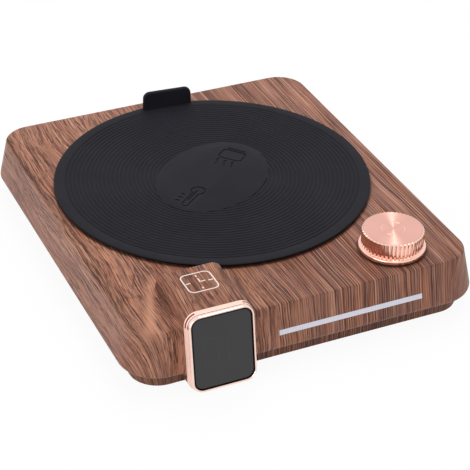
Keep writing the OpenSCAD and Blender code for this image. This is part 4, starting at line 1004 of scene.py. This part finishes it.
class WARMER_OT_mat(bpy.types.Operator):
    """Build the ridged silicone mat with its pull tab and moulded marks"""

    bl_idname = "warmer.mat"
    bl_label = "Mat"

    def execute(self, context):
        sizes = context.scene.warmer_sizes
        colours = context.scene.warmer_colours
        mark_d = 0.00035
        mat = shape_object("mat", lathe(self.profile(sizes), 200))
        carve(mat, [self.oval(sizes)], "UNION")
        carve(mat, [self.tab(sizes)], "UNION")
        engrave(mat, self.marks(sizes), (0.0, 0.0, sizes.mat_t - mark_d))
        mat.data.transform(placed((sizes.plate_x, sizes.plate_y, sizes.case_top), sizes.mat_turn))
        finishes = [silicone("silicone", colours.silicone), silicone("silicone_painted_shade", colours.silicone_painted_shade)]
        shoulder = sizes.case_top + sizes.mat_t - sizes.mat_edge_r
        foot = sizes.mat_r - 2 * sizes.mat_undercut

        def rim(place):
            """True on the mat's outer wall, which takes the darker silicone as painted shade."""
            reach = math.hypot(place.x - sizes.plate_x, place.y - sizes.plate_y)
            return place.z < shoulder and reach > foot

        finish_piece(mat, "mat", finishes, ["silicone_mat"], 30.0, rim)
        return {"FINISHED"}

    def profile(self, sizes):
        """Half of the mat's section with its ridges, from the middle of its underside to that of its top."""
        radius = sizes.mat_r
        top = sizes.mat_t
        low = top - sizes.ridge_h
        edge = sizes.mat_edge_r
        bulge = 0.0002
        soft = 0.00006
        crest = top - soft
        pitch = sizes.ridge_pitch
        groove = [(0.0, crest), (0.12, low + soft), (0.2, low)]
        groove += [(0.38, low), (0.46, low + soft), (0.58, crest)]
        profile = [(0.0, 0.0), (radius - sizes.mat_undercut, 0.0), (radius - bulge, top - 2 * edge)]
        profile += turned_bend(sweep(4), radius, top, edge)
        outer = radius - sizes.mat_border
        step_in = 0.0003
        profile += [(outer + step_in, top)]
        for step in range(int((outer - sizes.mat_middle_r) / pitch)):
            start = outer - step * pitch
            profile += [(start - share * pitch, height) for share, height in groove]
        slope = 0.001
        return profile + [(sizes.mat_middle_r, crest), (sizes.mat_middle_r - slope, low), (0.0, low)]

    def oval(self, sizes):
        """The plain oval in the middle, as high as the ridges."""
        top = sizes.mat_t
        edge_r = 0.00025
        bm = bmesh.new()
        bmesh.ops.create_circle(bm, cap_ends=True, segments=96, radius=0.5)
        bmesh.ops.scale(bm, vec=(sizes.oval_l, sizes.oval_w, 1.0), verts=bm.verts)
        bmesh.ops.translate(bm, vec=(0.0, 0.0, top / 2), verts=bm.verts)
        thicken(bm, top / 2)
        upper = [edge for edge in bm.edges if min(vert.co.z for vert in edge.verts) > 0.9 * top]
        round_off(bm, upper, edge_r, 2)
        return shape_object("oval", bm, Matrix.Rotation(sizes.oval_turn, 4, "Z"))

    def tab(self, sizes):
        """The upright pull tab, a little narrower at its rounded top."""
        taper = 0.965
        edge_r = 0.0006
        foot = 0.001
        tall = sizes.tab_top - sizes.case_top
        bm = sheet(sizes.tab_w, tall, (0.0, tall / 2, 0.0))
        upper = [vert for vert in bm.verts if vert.co.y > tall / 2]
        for vert in upper:
            vert.co.x *= taper
        round_off(bm, upper, sizes.tab_corner_r, 8, "VERTICES")
        thicken(bm, sizes.tab_t, True)
        rims = [edge for edge in bm.edges if abs(edge.verts[0].co.z - edge.verts[1].co.z) < TINY]
        rims = [edge for edge in rims if max(vert.co.y for vert in edge.verts) > foot]
        round_off(bm, rims, edge_r, 3, clamp=True)
        return shape_object("tab", bm, placed((0.0, sizes.tab_out + sizes.tab_t / 2, 0.0), QUARTER, "X"))

    def marks(self, sizes):
        """Sunk line marks: a jar over three heat waves at one end of the oval, a thermometer at the other."""
        deep = 0.001
        line = 0.0007
        jar_w = 0.0125
        jar_h = 0.0085
        jar_r = 0.0022
        lid = 0.0048
        lid_y = 0.0058
        wave_gap = 0.004
        wave_y = -0.0079
        wave_l = 0.0046
        swing = 0.0006
        jar = [frame_stroke(jar_w, jar_h, jar_r, deep, line)]
        paths = [[(-lid, lid_y), (lid, lid_y)]]
        paths += [wave_points(x, wave_y, wave_l, swing) for x in (-wave_gap, 0.0, wave_gap)]
        jar += [stroke(path, deep, line) for path in paths]
        bulb_r = 0.0036
        bulb_y = -0.0045
        stem_r = 0.0019
        stem_y = 0.0085
        column = 0.005
        tick = 0.006
        bulb = [(x, y + bulb_y) for x, y in arc_points(bulb_r, 122, 418)]
        cap = [(x, y + stem_y) for x, y in arc_points(stem_r, 0, 180, 10)]
        paths = [bulb + cap + bulb[:1], [(0.0, bulb_y), (0.0, column)]]
        paths += [[(bulb_r, height), (tick, height)] for height in (0.0015, 0.0045, 0.0075)]
        gauge = [stroke(path, deep, line) for path in paths]
        jar_out = 0.0215
        gauge_out = -0.0195
        for shapes, along, turn in ((jar, jar_out, -QUARTER), (gauge, gauge_out, QUARTER)):
            place = Matrix.Rotation(sizes.oval_turn, 4, "Z") @ Matrix.Translation((along, 0.0, 0.0))
            place = place @ Matrix.Rotation(turn, 4, "Z")
            for shape in shapes:
                bmesh.ops.transform(shape, matrix=place, verts=shape.verts)
        return jar + gauge


class WARMER_OT_knob(bpy.types.Operator):
    """Build the fluted knob with its skirt and turned top"""

    bl_idname = "warmer.knob"
    bl_label = "Knob"

    chamfer = 0.0005
    runout = 0.0005
    foot_gap = 0.0001
    slack = 0.0001

    def execute(self, context):
        sizes = context.scene.warmer_sizes
        colours = context.scene.warmer_colours
        per_flute = 12
        bm = lathe(self.profile(sizes), sizes.flute_count * per_flute)
        self.flute(bm, sizes)
        knob = shape_object("knob_cap", bm, Matrix.Translation((sizes.knob_x, sizes.knob_y, 0.0)))
        mark_r = 0.0054
        mark_w = 0.0004
        mark_d = 0.00014
        mark_h = 0.001
        dash = 0.0024
        paths = [arc_points(mark_r, -60, 60), arc_points(mark_r, 120, 240), [(-dash, 0.0), (dash, 0.0)]]
        marks = [stroke(points, mark_h, mark_w) for points in paths]
        engrave(knob, marks, (sizes.knob_x, sizes.knob_y, sizes.knob_top - mark_d))
        flat_r = sizes.knob_r - self.chamfer - self.slack

        def turned(place):
            """True on the flat top."""
            reach = math.hypot(place.x - sizes.knob_x, place.y - sizes.knob_y)
            return place.z > sizes.knob_top - HAIR and reach < flat_r

        finishes = [polished("rose_gold", colours.rose_gold), spun_gold(colours, sizes)]
        finish_piece(knob, "knob", finishes, ["knob"], 30.0, turned)
        return {"FINISHED"}

    def profile(self, sizes):
        """Half of the knob's section: hub, hollow, skirt, fluted side and top."""
        radius = sizes.knob_r
        top = sizes.knob_top
        low = sizes.skirt_low
        inner = radius - sizes.knob_wall
        cap = top - sizes.knob_cap
        hub = 0.0048
        bore = 0.0031
        hub_lift = 0.0045
        hub_low = sizes.case_top + hub_lift
        bevel = 0.0002
        fillet = 0.0003
        lip = 0.0007
        skirt = low + sizes.skirt_t
        foot = skirt + self.foot_gap
        tall = top - self.chamfer
        profile = [(0.0, cap), (bore, cap), (bore, hub_low), (hub, hub_low), (hub, cap)]
        profile += [(inner, cap), (inner, low), (sizes.skirt_r - bevel, low), (sizes.skirt_r, low + bevel)]
        profile += turned_bend(sweep(6), sizes.skirt_r, skirt, lip)
        profile += [(radius + fillet, foot), (radius, foot + fillet), (radius, 0.5 * (foot + tall))]
        profile += [(radius, tall - share * self.runout) for share in (1.0, 0.6, 0.25, 0.0)]
        profile += [(radius - self.chamfer, top), (radius - self.chamfer - bevel, top)]
        return profile + [(radius * share, top) for share in (0.75, 0.5, 0.25, 0.0)]

    def flute(self, bm, sizes):
        """Sinks round flutes into the side, shallower at their upper ends, and crowns the lands between."""
        groove = 0.42
        crown = 0.00012
        shallow = 0.6
        above_foot = 0.0002
        low = sizes.skirt_low + sizes.skirt_t + self.foot_gap + above_foot
        tall = sizes.knob_top - self.chamfer
        pitch = math.tau / sizes.flute_count
        for vert in bm.verts:
            reach = math.hypot(vert.co.x, vert.co.y)
            if vert.co.z < low or reach < sizes.knob_r - self.chamfer - self.slack:
                continue
            off = abs((math.atan2(vert.co.y, vert.co.x) / pitch) % 1.0 - 0.5) * 2.0
            if off < groove:
                sink = sizes.flute_depth * math.sqrt(1.0 - (off / groove) ** 2)
            elif off > 0.99:
                sink = 0.0
            else:
                sink = crown * ((off - groove) / (1.0 - groove) - 0.5) ** 2 * 4.0
            sink *= min(max((tall - vert.co.z) / self.runout, shallow), 1.0)
            scale = (reach - sink) / reach
            vert.co.x *= scale
            vert.co.y *= scale


class WARMER_OT_display(bpy.types.Operator):
    """Build the display's polished frame and its dark glass"""

    bl_idname = "warmer.display"
    bl_label = "Display"

    def execute(self, context):
        sizes = context.scene.warmer_sizes
        colours = context.scene.warmer_colours
        outline = (sizes.display_w, sizes.display_h, sizes.display_corner_r, ORIGIN)
        place = display_matrix(sizes)
        back = place.inverted()
        bezel = shape_object("bezel", rounded_block(*outline, self.frame_profile(sizes), 14, True), place)
        # The satin flank, a lighter copy for painted highlight, and a darker one for painted shade and dark
        # reflection.
        golds = [
            polished("rose_gold_frame", colours.frame_gold, 0.05, 0.25),
            polished("painted_highlight_rose_gold", colours.painted_highlight_gold, 0.9, 0.1),
            polished("painted_shade_rose_gold", colours.painted_shade_gold, 0.8, 0.16),
        ]

        def trim(place):
            """Which of the golds a face takes."""
            return self.frame_finish(back @ place, sizes)

        finish_piece(bezel, "base", golds, ["display_bezel"], 34.0, trim)
        top = sizes.bezel_depth - sizes.lens_sink
        play = 0.0001
        gap = sizes.bezel_lip + play
        round_r = 0.0009
        sunk = 0.0004
        profile = [(sizes.lens_seat, -gap)] + bend(sweep(6), top - sunk, -gap - round_r, sunk, round_r)
        lens = shape_object("glass", rounded_block(*outline, profile, 14), place)
        glasses = [
            smoked_glass("smoked_glass", colours.glass),
            smoked_glass("glass_painted_shadow", colours.glass_painted_shadow, 0.1),
        ]

        def border(place):
            """True on the rounded border of the glass."""
            return (back @ place).z < top - HAIR

        finish_piece(lens, "base", glasses, ["display_lens"], 34.0, border)
        digits = shape_object("unlit_segments", self.digits(top), place)
        finish_piece(digits, "base", [smoked_glass("unlit_segments", colours.segment)])
        return {"FINISHED"}

    def frame_profile(self, sizes):
        """The frame's section: bowed flank, groove, crowned front, cut lip and the seat of the glass."""
        deep = sizes.bezel_depth
        lip = sizes.bezel_lip
        band = sizes.bezel_band
        groove = sizes.bezel_groove
        chamfer = sizes.bezel_chamfer
        seat = sizes.lens_seat
        groove_d = 0.0002
        crown = 0.0006
        step = 0.00004
        seat_w = 0.0016
        ledge = lip + seat_w
        front = band + groove
        turns = sweep(6, 4.0, 20.0)
        start = turns[0]
        bow = band / (math.sin(turns[-1]) - math.sin(start))
        profile = bend(turns, -bow * math.sin(start), sizes.bezel_proud - bow * math.cos(start), bow, bow)
        inner = profile[-1][1]
        profile += [(band + groove / 6, inner - groove_d), (front - groove / 6, inner - groove_d)]
        profile += bend(sweep(8, 0.0, 84.0), front, inner - step - crown, deep - front, crown)
        profile += [(deep, chamfer - lip), (deep - chamfer, -lip), (deep - sizes.lens_sink, -lip)]
        return profile + [(seat, -lip), (seat, -ledge), (0.0, -ledge)]

    def frame_finish(self, place, sizes):
        """0 on the satin flank, 1 for the painted highlight on the cut lip and front, and 2 for the deep tone
        of
        painted shade and dark reflection: round the glass, in the upper groove and over the upper corners."""
        x, y, z = place
        deep = sizes.bezel_depth
        band = sizes.bezel_band
        front = band + sizes.bezel_groove
        chamfer = sizes.bezel_chamfer
        corner = sizes.display_corner_r
        reach_y = sizes.display_h / 2 - corner
        over_x = max(abs(x) - sizes.display_w / 2 + corner, 0.0)
        over_y = max(abs(y) - reach_y, 0.0)
        by_glass = math.hypot(over_x, over_y) - corner < chamfer / 2 - sizes.bezel_lip
        upper = y > reach_y
        if z > front:
            # Painted highlight on the upper side and near the glass.
            bright = upper or z > 0.4 * front + 0.6 * deep
            return 2 if by_glass and z < deep - chamfer else int(bright)
        if z > band:
            return 2 if upper or by_glass else 0
        # A painted dark reflection along the upper flank, over the upper corners.
        painted_reflection_stripe = upper and over_x > 0.2 * corner and 0.3 * band < z < 0.7 * band
        return 2 if by_glass or painted_reflection_stripe else 0

    def digits(self, height):
        """Two digits of seven unlit segments and a colon, let into the glass."""
        spacing = 0.0054
        half = 0.0032
        tall = 0.0066
        thin = 0.00003
        wide = 0.0008
        cut = 0.00035
        level = 0.005
        upright = 0.0055
        dot_r = 0.0005
        dot_y = 0.0022
        bars = [(0.0, y, level, 0.0) for y in (-tall, 0.0, tall)]
        bars += [(x, y, upright, QUARTER) for x in (-half, half) for y in (-tall / 2, tall / 2)]
        bm = bmesh.new()
        for middle in (-spacing, spacing):
            for x, y, reach, turn in bars:
                place = placed((middle + x, y, height), turn) @ Matrix.Diagonal((reach, wide, thin, 1.0))
                made = bmesh.ops.create_cube(bm, size=1.0, matrix=place)["verts"]
                edges = once(edge for vert in made for edge in vert.link_edges)
                ends = [edge for edge in edges if abs(edge.verts[0].co.z - edge.verts[1].co.z) > HAIR]
                round_off(bm, ends, cut, 1)
        for y in (-dot_y, dot_y):
            place = Matrix.Translation((0.0, y, height))
            bmesh.ops.create_cone(
                bm, cap_ends=True, segments=12, radius1=dot_r, radius2=dot_r, depth=thin, matrix=place
            )
        return bm


class WARMER_OT_key(bpy.types.Operator):
    """Print the clock key on the pod's top"""

    bl_idname = "warmer.key"
    bl_label = "Clock key"

    def execute(self, context):
        sizes = context.scene.warmer_sizes
        line = sizes.key_line
        thin = 0.00012
        proud = 0.00004
        sunk = 0.00006
        corner_r = 0.0028
        bm = frame_stroke(sizes.key_size, sizes.key_size, corner_r, thin, line)
        near = 0.004
        long_tick = 0.0061
        short_tick = 0.0052
        minute = 0.0026
        hour = 0.0027
        elbow = -0.0002
        hands = [[(0.0, minute), (0.0, elbow), (hour, elbow)]]
        hands += [[(side * near, 0.0), (side * long_tick, 0.0)] for side in (1, -1)]
        hands += [[(0.0, side * near), (0.0, side * short_tick)] for side in (1, -1)]
        for places in hands:
            part = stroke(places, thin, line)
            mesh = bpy.data.meshes.new("hand")
            part.to_mesh(mesh)
            part.free()
            bm.from_mesh(mesh)
            bpy.data.meshes.remove(mesh)
        bmesh.ops.translate(bm, vec=(sizes.key_x, sizes.key_y, 0.0), verts=bm.verts)
        shell = bmesh.new()
        shell.from_mesh(bpy.data.objects["case"].data)
        tree = BVHTree.FromBMesh(shell)
        over_all = 0.06
        for vert in bm.verts:
            above = Vector((vert.co.x, vert.co.y, over_all))
            hit = tree.ray_cast(above, -AXES[2])[0]
            if hit is None:
                raise RuntimeError("the clock key misses the pod")
            vert.co.z = hit.z + (proud if vert.co.z > thin / 2 else -sunk)
        shell.free()
        key = shape_object("clock_key", bm)
        print_finish = moulded("key_print", context.scene.warmer_colours.key_print, 0.45, 2.0)
        finish_piece(key, "base", [print_finish])
        return {"FINISHED"}


class WARMER_OT_fittings(bpy.types.Operator):
    """Finish the solids that are shown as they are"""

    bl_idname = "warmer.fittings"
    bl_label = "Fittings"

    def execute(self, context):
        sizes = context.scene.warmer_sizes
        colours = context.scene.warmer_colours
        finishes = {
            "plinth": wood_moulding(colours, sizes),
            "rubber": moulded("rubber", linear(34, 34, 36), 0.8, 1.1),
            "diffuser": milky("light_diffuser", colours.diffuser),
            "plate_metal": turned_plate("turned_plate", linear(198, 200, 204), sizes),
            "steel": metal("plated_steel", linear(188, 190, 194), 0.3),
            "copper": metal("bare_copper", linear(206, 150, 108), 0.32),
            "gasket": moulded("gasket", linear(216, 212, 204), 0.7, 1.2),
            "heater_film": foil("heater_film", linear(196, 128, 58)),
            "fibre": felt("insulation", linear(232, 229, 220)),
            "board": circuit_board("green_board", linear(34, 92, 58)),
            "white_board": circuit_board("white_board", linear(214, 214, 210)),
            "black_part": moulded("black_moulding", linear(32, 32, 35), 0.45, 1.8),
            "blue_part": moulded("blue_sleeve", linear(40, 54, 84), 0.4, 2.0),
            "white_part": moulded("white_moulding", linear(228, 225, 214), 0.5, 1.8),
            "sensor_part": moulded("ceramic", linear(214, 204, 184), 0.6, 2.2),
            "red_wire": moulded("red_sleeve", linear(164, 46, 38), 0.45, 2.0),
            "black_wire": moulded("black_sleeve", linear(36, 36, 39), 0.45, 2.0),
            "grey_ribbon": flat_cable("ribbon_cable", linear(200, 203, 208)),
        }
        for part in frame["record"]["subparts"]:
            node = frame["nodes"][part["node"]]
            if node.hide_render or part["material_slot"] not in finishes:
                continue
            node.data.materials.clear()
            node.data.materials.append(finishes[part["material_slot"]])
        return {"FINISHED"}


class WARMER_OT_stage(bpy.types.Operator):
    """Set the floor, the light and the camera"""

    bl_idname = "warmer.stage"
    bl_label = "Stage"

    def execute(self, context):
        stage = context.scene.warmer_stage
        scene = context.scene
        scene.view_settings.view_transform = "Standard"
        self.floor()
        self.world(scene, stage)
        overhead = Vector((0.183, 0.399, 0.899))
        over_knob = Vector((0.211, 0.08, 0.88))
        at_left = Vector((-0.85, -0.45, 0.4))
        soft_box = self.lamp(scene, "soft_box", overhead, (0.5, 0.5), stage.key_power)
        soft_box.visible_glossy = False
        self.lamp(scene, "strip", over_knob, (0.1, 0.5), stage.strip_power, stage.azimuth)
        self.lamp(scene, "side_card", at_left, (0.8, 0.8), stage.side_power)
        self.camera(scene, stage)
        return {"FINISHED"}

    def lamp(self, scene, name, place, sides, energy, turn=None):
        """A soft box that faces the object. With a turn it lies level, turned about the upright axis."""
        lamp = bpy.data.lights.new(name, "AREA")
        lamp.shape = "RECTANGLE"
        lamp.size, lamp.size_y = sides
        lamp.energy = energy
        box = bpy.data.objects.new(name, lamp)
        scene.collection.objects.link(box)
        aim = place.to_track_quat("Z", "Y").to_matrix().to_4x4()
        if turn is not None:
            aim = Matrix.Rotation(turn, 4, "Z")
        box.matrix_world = Matrix.Translation(place) @ aim
        return box

    def seen(self, wire):
        """1 for rays that should see the background as white."""
        path = wire.tree.nodes.new("ShaderNodeLightPath")
        names = ("Is Camera Ray", "Is Glossy Ray", "Is Transmission Ray")
        camera, glossy, through = (Wire(wire.tree, path.outputs[name]) for name in names)
        return wire.math("MINIMUM", camera + glossy + through, 1.0)

    def floor(self):
        """A plain pale floor that keeps the object's shadow."""
        reach = 3.0
        glow = 0.93
        bm = bmesh.new()
        bmesh.ops.create_grid(bm, x_segments=8, y_segments=8, size=reach)
        floor = shape_object("floor", bm)
        material, wire = start_finish("pale_floor")
        wire.tree.nodes.clear()
        plain = wire.node("ShaderNodeBsdfDiffuse", {"Color": toned(WHITE, 0.9)})
        white = wire.node("ShaderNodeEmission", {"Color": WHITE, "Strength": 1.0})
        mixed = wire.node("ShaderNodeMixShader", {0: self.seen(wire) * glow, 1: plain, 2: white})
        output = wire.tree.nodes.new("ShaderNodeOutputMaterial")
        feed(output.inputs["Surface"], mixed)
        floor.data.materials.append(material)

    def world(self, scene, stage):
        """Even light from all round, white where it is seen."""
        scene.world = bpy.data.worlds.new("studio")
        scene.world.use_nodes = True
        wire = Wire(scene.world.node_tree)
        background = wire.tree.nodes["Background"].inputs
        feed(background["Color"], WHITE)
        feed(background["Strength"], self.seen(wire) * (1.0 - stage.ambient) + stage.ambient)

    def camera(self, scene, stage):
        """The camera at the photograph's viewing angle."""
        lens = bpy.data.cameras.new("camera")
        lens.lens = stage.lens
        lens.sensor_width = 36.0
        lens.clip_start = 0.01
        camera = bpy.data.objects.new("camera", lens)
        scene.collection.objects.link(camera)
        aim = Matrix.Translation((stage.aim_x, stage.aim_y, stage.aim_z))
        turn = Matrix.Rotation(stage.azimuth, 4, "Z")
        tip = Matrix.Rotation(QUARTER - stage.elevation, 4, "X")
        roll = Matrix.Rotation(stage.roll, 4, "Z")
        camera.matrix_world = aim @ turn @ tip @ roll @ Matrix.Translation((0.0, 0.0, stage.distance))
        scene.camera = camera


class WARMER_PT_panel(bpy.types.Panel):
    """Lists the sizes, the colours and the steps"""

    bl_idname = "WARMER_PT_panel"
    bl_label = "Jar warmer"
    bl_space_type = "VIEW_3D"
    bl_region_type = "UI"
    bl_category = "Jar warmer"

    def draw(self, context):
        layout = self.layout
        for group in (context.scene.warmer_sizes, context.scene.warmer_colours, context.scene.warmer_stage):
            box = layout.box()
            for name in group.bl_rna.properties.keys():
                if name not in ("rna_type", "name"):
                    box.prop(group, name)
        for step in STEPS:
            layout.operator(step.bl_idname)


STEPS = (
    WARMER_OT_case,
    WARMER_OT_mat,
    WARMER_OT_knob,
    WARMER_OT_display,
    WARMER_OT_key,
    WARMER_OT_fittings,
    WARMER_OT_stage,
)
GROUPS = (WarmerSizes, WarmerColours, WarmerStage)
CLASSES = (*GROUPS, *STEPS, WARMER_PT_panel)


def register():
    """Adds the classes and the scene's properties."""
    for item in CLASSES:
        bpy.utils.register_class(item)
    bpy.types.Scene.warmer_sizes = PointerProperty(type=WarmerSizes)
    bpy.types.Scene.warmer_colours = PointerProperty(type=WarmerColours)
    bpy.types.Scene.warmer_stage = PointerProperty(type=WarmerStage)


def unregister():
    """Removes them again."""
    del bpy.types.Scene.warmer_stage
    del bpy.types.Scene.warmer_colours
    del bpy.types.Scene.warmer_sizes
    for item in reversed(CLASSES):
        bpy.utils.unregister_class(item)


def main():
    """Builds everything in order."""
    register()
    bpy.ops.warmer.case()
    bpy.ops.warmer.mat()
    bpy.ops.warmer.knob()
    bpy.ops.warmer.display()
    bpy.ops.warmer.key()
    bpy.ops.warmer.fittings()
    bpy.ops.warmer.stage()


if __name__ == "__main__":
    main()
